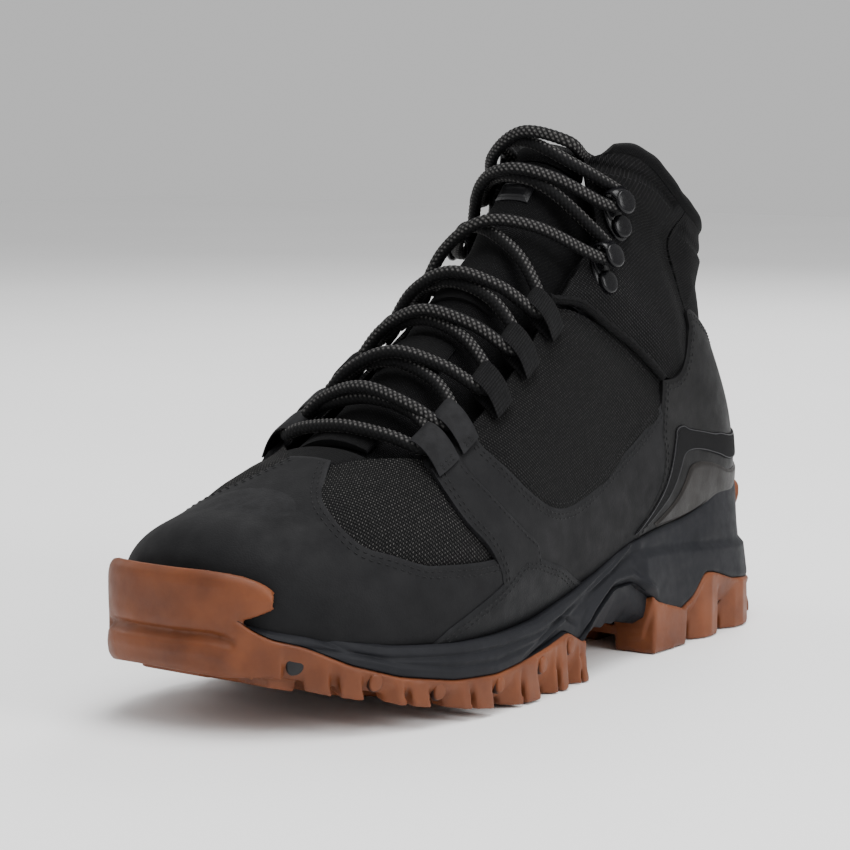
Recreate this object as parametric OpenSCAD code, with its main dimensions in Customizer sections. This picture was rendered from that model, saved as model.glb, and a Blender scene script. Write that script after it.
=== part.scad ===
// Hiking boot, left foot, mid cut, laced.
// Toe at -Y, outer (lateral) side at +X, ground at Z = 0.

/* [Size] */
// Length of the boot over the sole
boot_l = 293.6; // [240:0.2:340]
// Width over the ball of the sole
boot_w = 110.4; // [90:0.2:130]
// Height scale of the upper and the sole
height_k = 1; // [0.85:0.01:1.2]

/* [Sole] */
// Depth of the tread lugs
lug_h = 5; // [3:0.5:7]
// Rise of the toe above the ground
toe_rise = 20; // [12:1:26]

/* [Upper] */
// Thickness of the leather
leather_t = 1.3; // [1:0.1:1.3]
// Diameter of the lace
lace_d = 4.4; // [3:0.2:4.4]

/* [Hidden] */

kx = boot_w / 110.4;
ky = boot_l / 293.6;
kz = height_k;
// Middle of the boot over the ground, so that it stands at the origin
mid_x = 2.5;
mid_y = 4.5;

c_gum = [0.62, 0.38, 0.25];
c_eva = [0.20, 0.21, 0.22];
c_leather = [0.17, 0.17, 0.18];
c_fabric = [0.13, 0.13, 0.14];
c_black = [0.07, 0.07, 0.08];
c_metal = [0.10, 0.10, 0.11];
c_orange = [0.80, 0.42, 0.12];

// ---- shape of the upper -------------------------------------------------
// One row per section: top line y z, bottom line y z, half width, centre x,
// height of the widest point, roundness below and above it.
LAST = [
  [-135, 42, -135, 38, 3, -11, 0.50, 2.2, 2.2],
  [-133, 49, -134, 31, 13, -11, 0.45, 2.4, 2.2],
  [-130, 56, -131, 27, 23, -10, 0.42, 2.6, 2.3],
  [-122, 63, -123, 24, 33, -7, 0.38, 3.0, 2.3],
  [-106, 70, -108, 20, 41, -3, 0.34, 3.6, 2.25],
  [-84, 79, -85, 17, 47, 1, 0.32, 4.2, 2.15],
  [-60, 92, -58, 16, 48.5, 3, 0.32, 4.4, 2.1],
  [-34, 111, -25, 18, 45.5, 4, 0.32, 4.4, 2.1],
  [-11, 129, 15, 22, 41, 4, 0.34, 4.2, 2.2],
  [8, 144, 60, 27, 37, 3, 0.36, 3.8, 2.3],
  [20, 156, 103, 30, 35.5, 1.5, 0.36, 3.4, 2.4],
  [27, 163, 133, 36, 34.5, 1, 0.38, 3.0, 2.4],
  [31, 168, 138.5, 62, 33, 1, 0.42, 2.6, 2.4],
  [34, 173, 129, 92, 29.5, 1, 0.46, 2.4, 2.4],
  [37, 177, 118, 117, 28.5, 1, 0.50, 2.3, 2.4],
  [41, 180, 120.5, 136, 32, 1, 0.50, 2.3, 2.4],
  [47, 184, 121, 150, 33, 1, 0.50, 2.3, 2.4]
];

// Smooth curve through the rows of a list, t from 0 to the last index
function cr(a, b, c, d, f) =
  0.5 * (2 * b + (c - a) * f + (2 * a - 5 * b + 4 * c - d) * f * f + (3 * b - a - 3 * c + d) * f * f * f);
function along(l, t) =
  let (n = len(l), i = min(max(floor(t), 0), n - 2), f = t - i)
  let (a = i == 0 ? 2 * l[0] - l[1] : l[i - 1])
  let (d = i == n - 2 ? 2 * l[n - 1] - l[n - 2] : l[i + 2])
  cr(a, l[i], l[i + 1], d, f);
// Value from a two-column list, straight between the rows
function lut(l, x) = lookup(x, l);
function spow(x, e) = sign(x) * pow(abs(x), e);
function unit(v) = v / max(norm(v), 1e-9);

// Point of the upper: u runs toe to collar, v runs round (0 top, 0.5 outer side, 1 bottom or back)
function last0(u, v) =
  let (s = along(LAST, u), c = cos(180 * v), n = sin(180 * v))
  let (p = c >= 0 ? s[8] : s[7])
  let (h = c >= 0 ? s[6] + (1 - s[6]) * pow(c, 2 / p) : s[6] * (1 - pow(-c, 2 / p)))
  [s[5] + s[4] * spow(n, 2 / p), s[2] + (s[0] - s[2]) * h, s[3] + (s[1] - s[3]) * h];
function dirv(u, v) = unit(last0(u, v + 0.006) - last0(u, v - 0.006));
function diru(u, v) = unit(last0(min(u + 0.05, 16), v) - last0(max(u - 0.05, 0), v));
function nrm(u, v) = unit(cross(diru(u, v), -dirv(u, v)));
function scl(p) = [(p[0] - mid_x) * kx, (p[1] - mid_y) * ky, p[2] * kz];
// The same point moved out of the surface by o
function P(u, v, o) = scl(last0(u, v) + o * nrm(u, v));

// ---- solids from grids ---------------------------------------------------
function mirror_v(l, c) = [for (i = [len(l) - 2:-1:0]) [l[i][0], 2 * c - l[i][1]]];
// Curve lateral side to medial side through the top (c = 0) or the back (c = 1)
function both(l, c) = concat(l, mirror_v(l, c));
function med(l) = [for (q = l) [q[0], -q[1]]];
// Grid of (u, v) between a list of curves, each with its own control points
function grid(curves, nt, ns) =
  let (k = len(curves) - 1)
  [for (i = [0:nt]) [for (j = [0:ns])
    let (s = j / ns * k, a = min(floor(s), k - 1), f = s - a)
    let (p = along(curves[a], i / nt * (len(curves[a]) - 1)))
    let (q = along(curves[a + 1], i / nt * (len(curves[a + 1]) - 1)))
    p * (1 - f) + q * f]];
function kept(k, i, j, n, m) =
  i >= 0 && j >= 0 && i < n - 1 && j < m - 1 && (len(k) == 0 || k[i][j] == 1);

// Closed solid between two point grids of the same size
module solid_between(a, b, k = [], flip = false) {
  n = len(a);
  m = len(a[0]);
  w = n * m;
  pts = concat([for (r = a) for (q = r) q], [for (r = b) for (q = r) q]);
  up = [for (i = [0:n - 2]) for (j = [0:m - 2]) if (kept(k, i, j, n, m))
    let (p = i * m + j) each [[p, p + 1, p + m + 1], [p, p + m + 1, p + m]]];
  dn = [for (f = up) [f[2] + w, f[1] + w, f[0] + w]];
  side = [for (i = [0:n - 2]) for (j = [0:m - 2]) if (kept(k, i, j, n, m))
    let (p = i * m + j) each concat(
      kept(k, i, j - 1, n, m) ? [] : [[p, p + m, p + m + w], [p, p + m + w, p + w]],
      kept(k, i, j + 1, n, m) ? [] : [[p + m + 1, p + 1, p + 1 + w], [p + m + 1, p + 1 + w, p + m + 1 + w]],
      kept(k, i - 1, j, n, m) ? [] : [[p + 1, p, p + w], [p + 1, p + w, p + 1 + w]],
      kept(k, i + 1, j, n, m) ? [] : [[p + m, p + m + 1, p + m + 1 + w], [p + m, p + m + 1 + w, p + m + w]])];
  faces = concat(up, dn, side);
  polyhedron(pts, flip ? [for (f = faces) [f[2], f[1], f[0]]] : faces);
}
// Panel on the upper from offset o0 (inner) to o1 (outer), g = grid of (u, v)
module panel(g, o0, o1, k = []) {
  solid_between([for (r = g) [for (q = r) P(q[0], q[1], o1)]], [for (r = g) [for (q = r) P(q[0], q[1], o0)]], k);
}
// Panel whose middle stands up by b0 (inner) and b1 (outer); run is the number of rows it starts over
module crowned(g, o0, o1, b0, b1, run) {
  n = len(g) - 1;
  m = len(g[0]) - 1;
  function bell(i, j) = min(1, i / run) * pow(sin(180 * j / m), 2);
  solid_between(
    [for (i = [0:n]) [for (j = [0:m]) P(g[i][j][0], g[i][j][1], o1 + b1 * bell(i, j))]],
    [for (i = [0:n]) [for (j = [0:m]) P(g[i][j][0], g[i][j][1], o0 + b0 * bell(i, j))]]);
}
// Solid from a stack of closed rings, bottom ring first; the ends are closed by strips
module ring_stack(r) {
  n = len(r[0]);
  h = floor(n / 2);
  k = len(r);
  pts = [for (q = r) each q];
  wall = [for (i = [0:k - 2]) for (j = [0:n - 1])
    let (a = i * n + j, b = i * n + (j + 1) % n) each [[a, b + n, b], [a, a + n, b + n]]];
  low = [for (j = [0:h - 2]) let (a = j, b = n - 1 - j) each [[a, a + 1, b - 1], [a, b - 1, b]]];
  t = (k - 1) * n;
  top = [for (f = low) [f[2] + t, f[1] + t, f[0] + t]];
  polyhedron(pts, concat(wall, low, top));
}
// Round tube through a list of points
function ring_dir(p, i) = unit(p[min(i + 1, len(p) - 1)] - p[max(i - 1, 0)]);
function square_to(t, x) = unit(x - t * (x * t));
function frames(p, i, x, acc) =
  i == len(p) ? acc :
  let (y = square_to(ring_dir(p, i), x)) frames(p, i + 1, y, concat(acc, [y]));
module tube(p, r, n) {
  x = frames(p, 0, unit([0.31, 0.17, 0.93]), []);
  pts = [for (i = [0:len(p) - 1]) let (t = ring_dir(p, i), b = cross(t, x[i]))
    for (j = [0:n - 1]) p[i] + r * (cos(360 * j / n) * x[i] + sin(360 * j / n) * b)];
  m = len(p);
  wall = [for (i = [0:m - 2]) for (j = [0:n - 1])
    let (a = i * n + j, b = i * n + (j + 1) % n) each [[a, b + n, b], [a, a + n, b + n]]];
  polyhedron(pts, concat(wall, [[for (j = [0:n - 1]) j]], [[for (j = [n - 1:-1:0]) (m - 1) * n + j]]));
}

// ---- sole ----------------------------------------------------------------
// Sole outline: y, x on the inner side, x on the outer side
SOLE = [
  [-142, -20, -4], [-140, -30, 6], [-134, -38, 18], [-120, -46, 33], [-98, -51, 48],
  [-72, -52, 56], [-45, -49, 57], [-10, -44, 53], [30, -39, 47], [70, -38, 43],
  [108, -38, 41], [133, -33, 36], [146, -22, 24], [151, -8, 10]
];
// Edge between the rubber and the foam, by y
EDGE = [
  [-142, 34.6], [-134, 34], [-121, 26], [-109, 20], [-95, 17], [-75, 13.5], [-55, 12.5], [-40, 14],
  [-24, 16], [-10, 18.5], [2, 13], [12, 20], [25, 28], [38, 28], [52, 19], [62, 13], [71, 11.5],
  [83, 16], [91, 23.5], [97, 23], [112, 18.5], [133, 16], [151, 15]
];
// Top line of the foam, by y
RIM = [
  [-142, 35], [-134, 35], [-120, 31.5], [-98, 26.5], [-72, 25], [-45, 25], [-25, 29], [-10, 33],
  [10, 38], [30, 42.5], [70, 49], [108, 53.5], [133, 56], [151, 57]
];
// How far the foam wall leans in at the top and at mid height, by y
LEAN = [[-142, 5], [-120, 3], [-90, 2], [-40, 2], [10, 3], [60, 3], [110, 3.5], [133, 6], [151, 8]];
BELLY = [[-142, 2], [-90, 0.4], [-20, 0.4], [60, 1], [110, 2], [151, 4.5]];
// Underside of the foam at the edge and in the middle, by y (the arch stands clear)
UNDER = [[-10, 7.5], [2, 9], [12, 14], [25, 22], [38, 22], [50, 14], [62, 9], [151, 9]];
MIDDLE = [[-10, 7.5], [4, 11], [12, 13], [44, 13], [56, 9], [151, 9]];

function spring(y) = y > -35 ? 0 : toe_rise * pow((-35 - y) / 107, 1.6);
ST = concat([for (i = [0:7]) i / 2], [for (i = [16:43]) i / 4], [11.1, 11.5, 11.9, 12.3, 12.7, 13]);
function edge_pt(t, s, o) =
  let (a = along(SOLE, t), b = along(SOLE, min(t + 0.05, 13)), c = along(SOLE, max(t - 0.05, 0)))
  let (k = s > 0 ? 2 : 1, d = unit([b[k] - c[k], b[0] - c[0]]))
  [a[k] + s * d[1] * o, a[0] - s * d[0] * o];
// Ring round the outline, from station ta to tb; ins and z are lists by y
function ring(ts, ins, zz) = concat(
  [for (t = ts) let (y = along(SOLE, t)[0], q = edge_pt(t, 1, -lut(ins, y))) [q[0], q[1], lut(zz, y)]],
  [for (i = [len(ts) - 1:-1:0])
    let (t = ts[i], y = along(SOLE, t)[0], q = edge_pt(t, -1, -lut(ins, y))) [q[0], q[1], lut(zz, y)]]);
function flat(a) = [[-200, a], [200, a]];
function plus(l, a) = [for (q = l) [q[0], q[1] + a]];
function sprung(a) = [for (y = [-145:5:-35]) [y, spring(y) + a]];
function scaled(r) = [for (q = r) [for (p = q) scl(p)]];

base_z = concat(sprung(lug_h + 2.5), UNDER);
mid_z = concat(sprung(lug_h + 2.5), MIDDLE);

// The upper as one solid, used to shape the hollow of the midsole; it is fuller round the heel layers
module upper_form(o, heel_o) {
  nu = 28;
  nv = 30;
  ring_stack([for (i = [0:nu]) let (u = i / nu * 12.9, g = u < 8 ? o : u > 9 ? heel_o : o + (heel_o - o) * (u - 8))
    [for (j = [0:nv - 1]) P(u, (j + 0.5) * 2 / nv, g)]]);
}

// Tread block on one side: y0..y1 along the edge, reaching in by d
module side_lug(y0, y1, s, d, zt, slant = 2) {
  function at(y, o, z) =
    let (x0 = lut([for (q = SOLE) [q[0], s > 0 ? q[2] : q[1]]], y)) [x0 - s * o, y, z];
  function zb(y) = spring(y);
  pts = [
    at(y0 + 0.6, 0.6, zb(y0)), at(y1 - 0.6, 0.6, zb(y1)), at(y1 - 0.6 - slant, d, zb(y1)),
    at(y0 + 0.6 - slant, d, zb(y0)), at(y0, -0.9, zb(y0) + zt), at(y1, -0.9, zb(y1) + zt),
    at(y1 - slant, d + 1, zb(y1) + zt), at(y0 - slant, d + 1, zb(y0) + zt)];
  hull() {
    polyhedron([for (p = pts) scl(p)], [[0, 1, 2, 3], [7, 6, 5, 4], [0, 4, 5, 1], [1, 5, 6, 2],
      [2, 6, 7, 3], [3, 7, 4, 0]]);
  }
}
// Tread block away from the edge: centre, size and turn
module centre_lug(x, y, a, b, turn) {
  function corner(i, j, grow, h) =
    let (p = i * (a / 2 + grow), q = j * (b / 2 + grow))
    let (cx = x + p * cos(turn) - q * sin(turn), cy = y + p * sin(turn) + q * cos(turn))
    scl([cx, cy, spring(cy) + h]);
  around = [[-1, -1], [1, -1], [1, 1], [-1, 1]];
  pts = concat([for (k = around) corner(k[0], k[1], 0, 0)], [for (k = around) corner(k[0], k[1], 1, lug_h + 1)]);
  hull() {
    polyhedron(pts, [[0, 1, 2, 3], [7, 6, 5, 4], [0, 4, 5, 1], [1, 5, 6, 2], [2, 6, 7, 3], [3, 7, 4, 0]]);
  }
}

fore_ts = concat([for (i = [0:7]) i / 2], [for (i = [16:29]) i / 4]);
heel_ts = concat([for (i = [34:43]) i / 4], [11.1, 11.5, 11.9, 12.3, 12.7, 13]);
// The rubber's top edge, brought down to the plate where each piece ends at the waist
FORE_EDGE = concat([for (q = EDGE) if (q[0] < -15) q], [[-10, 17.5], [-3, 15], [-0.5, 8.2]]);
HEEL_EDGE = concat([[50.5, 13.2], [53, 17.5]], [for (q = EDGE) if (q[0] > 60) q]);
FORE_LUGS = [[-120, -107], [-100, -86], [-78, -59], [-51, -33], [-25, -13], [-7, 1.5]];
HEEL_LUGS = [[57, 78], [84, 102], [108, 126]];

module outsole_forefoot() {
  color(c_gum)
  union() {
    ring_stack(scaled([
      ring(fore_ts, flat(7), sprung(lug_h)),
      ring(fore_ts, flat(1.4), sprung(lug_h)),
      ring(fore_ts, flat(-0.3), sprung(lug_h + 2.2)),
      ring(fore_ts, flat(0.2), FORE_EDGE),
      ring(fore_ts, flat(2.6), FORE_EDGE),
      ring(fore_ts, flat(3.0), plus(base_z, -0.6)),
      ring(fore_ts, flat(9), plus(mid_z, -0.4))]));
    for (l = FORE_LUGS) {
      m = (l[0] + l[1]) / 2;
      side_lug(l[0], m - 0.7, 1, 13, lug_h + 1.4);
      side_lug(m + 0.7, l[1], 1, 11, lug_h + 1.4);
      side_lug(l[0], m - 0.7, -1, 13, lug_h + 1.4);
      side_lug(m + 0.7, l[1], -1, 11, lug_h + 1.4);
    }
    for (y = [-118, -96, -74, -52, -30]) {
      centre_lug(-8, y, 20, 9, 20);
      centre_lug(14, y, 20, 9, -20);
    }
    centre_lug(3, -9, 26, 8, 0);
    centre_lug(-11, -133, 24, 7, 0);
  }
}

module outsole_heel() {
  color(c_gum)
  union() {
    ring_stack(scaled([
      ring(heel_ts, flat(7), flat(lug_h)),
      ring(heel_ts, flat(1.4), flat(lug_h)),
      ring(heel_ts, flat(-0.3), flat(lug_h + 2.2)),
      ring(heel_ts, flat(0.2), HEEL_EDGE),
      ring(heel_ts, flat(2.6), HEEL_EDGE),
      ring(heel_ts, flat(3.0), plus(base_z, -0.6)),
      ring(heel_ts, flat(9), plus(mid_z, -0.4))]));
    for (l = HEEL_LUGS) {
      side_lug(l[0], l[1], 1, 15, lug_h + 2, -3);
      side_lug(l[0], l[1], -1, 15, lug_h + 2, -3);
    }
    centre_lug(-15, 139, 12, 12, 30);
    centre_lug(17, 139, 12, 12, -30);
    centre_lug(1, 143, 12, 10, 0);
    centre_lug(1, 70, 26, 8, 0);
    centre_lug(1, 92, 24, 9, 0);
    centre_lug(1, 114, 22, 9, 0);
  }
}

// Rubber cap wrapped round the toe above the sole crease
module toe_bumper() {
  ts = [2.5, 2.46, 2.38, 2.25, 2.1, 1.9, 1.6, 1.3, 1, 0.7, 0.4, 0.2, 0];
  function low(t) = t > 2.1 ? 35.6 + (t - 2.1) * 17 : 35.6;
  function high(t) = t > 2.38 ? 47 - (t - 2.38) * 22 : 51 - t * 1.7;
  function sec(t, s) = [for (q = [[-0.3, low(t)], [-0.2, (low(t) + high(t)) / 2], [1.6, high(t) - 0.8],
      [2.6, high(t)], [3.3, high(t) - 1.2], [3.2, low(t)]])
    let (e = edge_pt(t, s, -q[0])) scl([e[0], e[1], q[1]])];
  rows = concat([for (t = ts) sec(t, 1)], [for (i = [len(ts) - 1:-1:0]) sec(ts[i], -1)]);
  n = len(rows);
  pts = [for (r = rows) each r];
  wall = [for (i = [0:n - 2]) for (j = [0:5])
    let (a = i * 6 + j, b = i * 6 + (j + 1) % 6) each [[a, b + 6, b], [a, a + 6, b + 6]]];
  color(c_gum)
  polyhedron(pts, concat(wall, [[for (j = [0:5]) j]], [[for (j = [5:-1:0]) (n - 1) * 6 + j]]));
}

// Rubber tab set on the back of the heel
module heel_clip() {
  ts = [11.9, 12.1, 12.4, 12.7, 13];
  function sec(t, s) = [for (q = [[7.6, 50], [9.2, 57.6], [8.0, 58], [5.4, 55], [4.2, 50], [5.2, 44], [7.4, 42.5]])
    let (e = edge_pt(t, s, -q[0])) scl([e[0], e[1], q[1]])];
  rows = concat([for (t = ts) sec(t, 1)], [for (i = [len(ts) - 1:-1:0]) sec(ts[i], -1)]);
  n = len(rows);
  k = 7;
  pts = [for (r = rows) each r];
  wall = [for (i = [0:n - 2]) for (j = [0:k - 1])
    let (a = i * k + j, b = i * k + (j + 1) % k) each [[a, b + k, b], [a, a + k, b + k]]];
  color(c_gum)
  polyhedron(pts, concat(wall, [[for (j = [0:k - 1]) j]], [[for (j = [k - 1:-1:0]) (n - 1) * k + j]]));
}

// Dark plugs between the first tread blocks
module toe_studs() {
  color(c_black)
  for (s = [1, -1]) {
    for (y = [-126, -103]) {
      x = lut([for (q = SOLE) [q[0], s > 0 ? q[2] : q[1]]], y);
      translate(scl([x + s * 1.8, y, spring(y) + 9]))
        rotate([0, s * 90, y == -126 ? s * -42 : s * -20])
        cylinder(h = 1.3, r1 = 3.2, r2 = 2.3, $fn = 12);
    }
  }
}

module midsole() {
  color(c_eva)
  difference() {
    ring_stack(scaled([
      ring(ST, flat(9), mid_z),
      ring(ST, flat(4.2), base_z),
      ring(ST, flat(3.5), plus(EDGE, -1)),
      ring(ST, flat(3.4), plus(EDGE, 0.5)),
      ring(ST, flat(0.6), plus(EDGE, 0.5)),
      ring(ST, BELLY, [for (q = RIM) [q[0], (q[1] + lut(EDGE, q[0])) / 2 + 0.5]]),
      ring(ST, LEAN, plus(RIM, -1)),
      ring(ST, plus(LEAN, 1.4), RIM)]));
    upper_form(1.6, 3.0);
    shank_form(0.1);
    // Seat of the rubber tab at the back
    for (s = [-1, 1]) {
      hull() {
        translate(scl([s * 0.5 + 1, 151, 42])) cylinder(h = 20, r = 8.5 * ky, $fn = 24);
        translate(scl([s * 14 + 1, 148, 42])) cylinder(h = 20, r = 8.5 * ky, $fn = 24);
      }
      hull() {
        translate(scl([s * 14 + 1, 148, 42])) cylinder(h = 20, r = 8.5 * ky, $fn = 24);
        translate(scl([s * 25 + 1, 139.5, 42])) cylinder(h = 20, r = 8.5 * ky, $fn = 24);
      }
    }
    // Ribs moulded across the underside of the arch
    for (y = [14:8:46]) {
      hull() {
        translate(scl([-14, y, 11])) cube([1, 2, 3.4]);
        translate(scl([20, y, 11])) cube([1, 2, 3.4]);
      }
    }
  }
}

// Stiff plate bonded under the arch, its front corner shows beside the heel
module shank_form(gap) {
  hull() {
    for (c = [[-12, 10], [24, 10], [-10, 39], [16, 39]]) {
      translate(scl([c[0], c[1], 11]) - [0, 0, gap]) cylinder(h = 1.8 + 2 * gap, r = 5 + gap, $fn = 24);
    }
  }
}
module shank() {
  color(c_orange)
  shank_form(0);
}

// ---- inside of the boot --------------------------------------------------
// Layers, out of the surface: leather, fabric, foam, lining
LEATHER = [-0.4, -0.4 + leather_t];
FABRIC = [-2.3, -0.9];
FOAM = [-5.0, -2.8];
LINING = [-7.3, -6.2];
OVER = [1.3, 2.3];

module insole_board() {
  color(c_black)
  panel(grid([[[1.2, 1.16], [2, 1.18], [5, 1.18], [8, 1.18], [10, 1.17], [10.9, 1.14]],
    [[1.2, 0.84], [2, 0.82], [5, 0.82], [8, 0.82], [10, 0.83], [10.9, 0.86]]], 16, 6), -4.4, -2);
}
FOOT_A = [[1.6, 0.86], [2.4, 0.83], [5, 0.82], [8, 0.82], [10, 0.83], [10.8, 0.88]];
FOOT_B = [for (q = FOOT_A) [q[0], 2 - q[1]]];
module footbed_foam() {
  color(c_eva)
  panel(grid([FOOT_B, FOOT_A], 14, 6), -8.4, -5);
}
module footbed_cover() {
  color(c_fabric)
  panel(grid([FOOT_B, FOOT_A], 14, 6), -9.6, -8.8);
}

// ---- upper -----------------------------------------------------------------
// The seams are lists of [u, v]; the inner side mirrors the outer side.

// Toe leather with a side leg under each mesh window
module vamp() {
  us = [0.15, 0.6, 1, 1.4, 1.9, 2.4, 2.9, 3.4, 3.9, 4.36, 4.5, 4.7, 4.9, 5.12, 5.4, 5.75, 6.15];
  // Lower edge, window bottom and window top by u
  low = [[0, 0.62], [2, 0.66], [3.5, 0.69], [5, 0.70], [5.3, 0.66], [6.15, 0.52]];
  wlo = [[0, 0.36], [3.5, 0.30], [4.3, 0.26], [4.36, 0.31], [4.5, 0.34], [4.7, 0.363], [5.12, 0.41],
    [5.5, 0.432], [6.15, 0.462]];
  whi = [[0, 0.18], [3.5, 0.20], [4.3, 0.21], [4.36, 0.18], [4.5, 0.135], [4.7, 0.10], [4.9, 0.072],
    [5.12, 0.05], [6.2, 0.04]];
  function row(u) =
    let (a = lut(low, u), b = lut(wlo, u), c = lut(whi, u))
    let (half = [a, a * 0.75 + b * 0.25, (a + b) / 2, a * 0.25 + b * 0.75, b, (b + c) / 2, c, c * 0.66, c * 0.33])
    concat(half, [0], [for (i = [8:-1:0]) -half[i]]);
  g = [for (u = us) [for (v = row(u)) [u, v]]];
  k = [for (i = [0:len(us) - 2]) [for (j = [0:17])
    let (m = j < 9 ? j : 17 - j)
    us[i] < 4.3 ? 1 : m < 4 ? 1 : m < 6 ? 0 : us[i] < 5.1 ? 1 : 0]];
  color(c_leather)
  panel(g, LEATHER[0], LEATHER[1], k);
}
module toe_puff() {
  color(c_black)
  panel(grid([[[0.5, 0.55], [1.5, 0.56], [3.3, 0.56]], [[0.5, 0.3], [1.5, 0.3], [3.3, 0.3]], [[0.5, 0], [1.5, 0],
    [3.6, 0]], [[0.5, -0.3], [1.5, -0.3], [3.3, -0.3]], [[0.5, -0.55], [1.5, -0.56], [3.3, -0.56]]], 6, 16),
    FABRIC[0], FABRIC[1]);
}
MESH_TOP = [[4.30, 0.13], [4.6, 0.075], [5.12, 0.065], [5.5, 0.13], [5.95, 0.245]];
MESH_MID = [[4.16, 0.21], [4.6, 0.22], [5.1, 0.23], [5.6, 0.24], [6.05, 0.26]];
MESH_LOW = [[4.16, 0.33], [4.5, 0.40], [5.1, 0.45], [5.6, 0.47], [6.35, 0.50]];
module mesh_lateral() {
  color(c_fabric)
  panel(grid([MESH_LOW, MESH_MID, MESH_TOP], 8, 8), FABRIC[0], FABRIC[1]);
}
module mesh_medial() {
  color(c_fabric)
  panel(grid([med(MESH_TOP), med(MESH_MID), med(MESH_LOW)], 8, 8), FABRIC[0], FABRIC[1]);
}
// Front strap leather, from its lace loop down to the side overlay
STRAP_F = [[5.83, 0.235], [5.83, 0.30], [5.94, 0.37], [6.21, 0.44], [6.40, 0.492]];
STRAP_R = [[6.24, 0.235], [6.27, 0.30], [6.54, 0.39], [6.85, 0.455], [7.15, 0.492]];
module strap_lateral() {
  color(c_leather)
  panel(grid([STRAP_F, STRAP_R], 12, 3), LEATHER[0], LEATHER[1]);
}
module strap_medial() {
  color(c_leather)
  panel(grid([med(STRAP_R), med(STRAP_F)], 12, 3), LEATHER[0], LEATHER[1]);
}
// Rear strap leather running back along the side of the foot
FOX_F = [[6.29, 0.235], [6.32, 0.30], [6.59, 0.385], [6.90, 0.45], [7.25, 0.495], [7.55, 0.53], [7.92, 0.62],
  [8.15, 0.70], [8.5, 0.72]];
FOX_R = [[6.62, 0.235], [6.64, 0.29], [6.99, 0.39], [7.4, 0.46], [7.8, 0.495], [8.3, 0.505], [8.9, 0.495],
  [9.3, 0.487], [9.70, 0.478]];
module foxing_lateral() {
  color(c_leather)
  panel(grid([FOX_F, FOX_R], 16, 5), LEATHER[0], LEATHER[1]);
}
module foxing_medial() {
  color(c_leather)
  panel(grid([med(FOX_R), med(FOX_F)], 16, 5), LEATHER[0], LEATHER[1]);
}
// Side overlay at the waist of the foot
WING_T = [[6.18, 0.525], [6.5, 0.515], [6.9, 0.515], [7.2, 0.517]];
WING_B = [[5.15, 0.70], [6.1, 0.73], [7.1, 0.73], [8.0, 0.71]];
module wing_lateral() {
  color(c_eva)
  panel(grid([WING_B, WING_T], 8, 5), LEATHER[0], LEATHER[1]);
}
module wing_medial() {
  color(c_eva)
  panel(grid([med(WING_T), med(WING_B)], 8, 5), LEATHER[0], LEATHER[1]);
}
QTR_LOW = [[6.45, 0.34], [7.0, 0.46], [7.7, 0.53], [8.5, 0.55], [9.4, 0.545], [10.3, 0.525]];
QTR_TOP = [[6.60, 0.235], [7.36, 0.24], [8.1, 0.24], [8.80, 0.24], [9.45, 0.325], [9.99, 0.404],
  [10.3, 0.448], [10.6, 0.470]];
module quarter_lateral() {
  color(c_fabric)
  panel(grid([QTR_LOW, QTR_TOP], 14, 8), FABRIC[0], FABRIC[1]);
}
module quarter_medial() {
  color(c_fabric)
  panel(grid([med(QTR_TOP), med(QTR_LOW)], 14, 8), FABRIC[0], FABRIC[1]);
}
// Heel leather, one piece round the back
CNT_LOW = [[8.62, 0.70], [9.3, 0.715], [10, 0.73], [10.7, 0.76], [11.2, 0.81], [11.5, 0.90], [11.6, 1]];
CNT_MID = [[9.42, 0.555], [9.8, 0.555], [10.3, 0.56], [10.9, 0.58], [11.6, 0.64], [12.2, 0.80], [12.4, 1]];
CNT_TOP = [[10.32, 0.456], [10.7, 0.463], [11.3, 0.47], [12.0, 0.488], [12.7, 0.525], [13.1, 0.72], [13.15, 1]];
module counter() {
  color(c_leather)
  panel(grid([both(CNT_LOW, 1), both(CNT_MID, 1), both(CNT_TOP, 1)], 32, 6), LEATHER[0], LEATHER[1]);
}
module heel_stiffener() {
  color(c_black)
  panel(grid([both([[10.3, 0.74], [10.8, 0.77], [11.2, 0.84], [11.5, 0.92], [11.6, 1]], 1),
    both([[10.95, 0.51], [11.4, 0.515], [12.0, 0.55], [12.6, 0.74], [12.7, 1]], 1)], 24, 4), FABRIC[0], FABRIC[1]);
}
// Ribbed band over the heel leather
TRIM_OUT = [[8.84, 0.618], [9.25, 0.568], [9.81, 0.512], [10.19, 0.502], [10.8, 0.55], [11.5, 0.625],
  [12.3, 0.8], [12.62, 1]];
TRIM_IN = [[9.06, 0.618], [9.42, 0.585], [9.92, 0.532], [10.19, 0.524], [10.62, 0.565], [11.15, 0.635],
  [12.0, 0.8], [12.34, 1]];
module heel_trim() {
  color(c_fabric)
  panel(grid([both(TRIM_IN, 1), both(TRIM_OUT, 1)], 38, 1), OVER[0], OVER[1]);
}
// Smooth patch on the heel below the band
PATCH_TOP = [[9.20, 0.615], [9.54, 0.588], [9.95, 0.548], [10.2, 0.545], [10.6, 0.582], [11.08, 0.650],
  [11.9, 0.8], [12.24, 1]];
PATCH_LOW = [[9.24, 0.618], [9.6, 0.620], [10.1, 0.628], [10.5, 0.642], [10.9, 0.670], [11.3, 0.72],
  [11.72, 0.84], [11.98, 1]];
module heel_patch() {
  color(c_leather)
  panel(grid([both(PATCH_LOW, 1), both(PATCH_TOP, 1)], 28, 3), OVER[0], OVER[1]);
}

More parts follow.
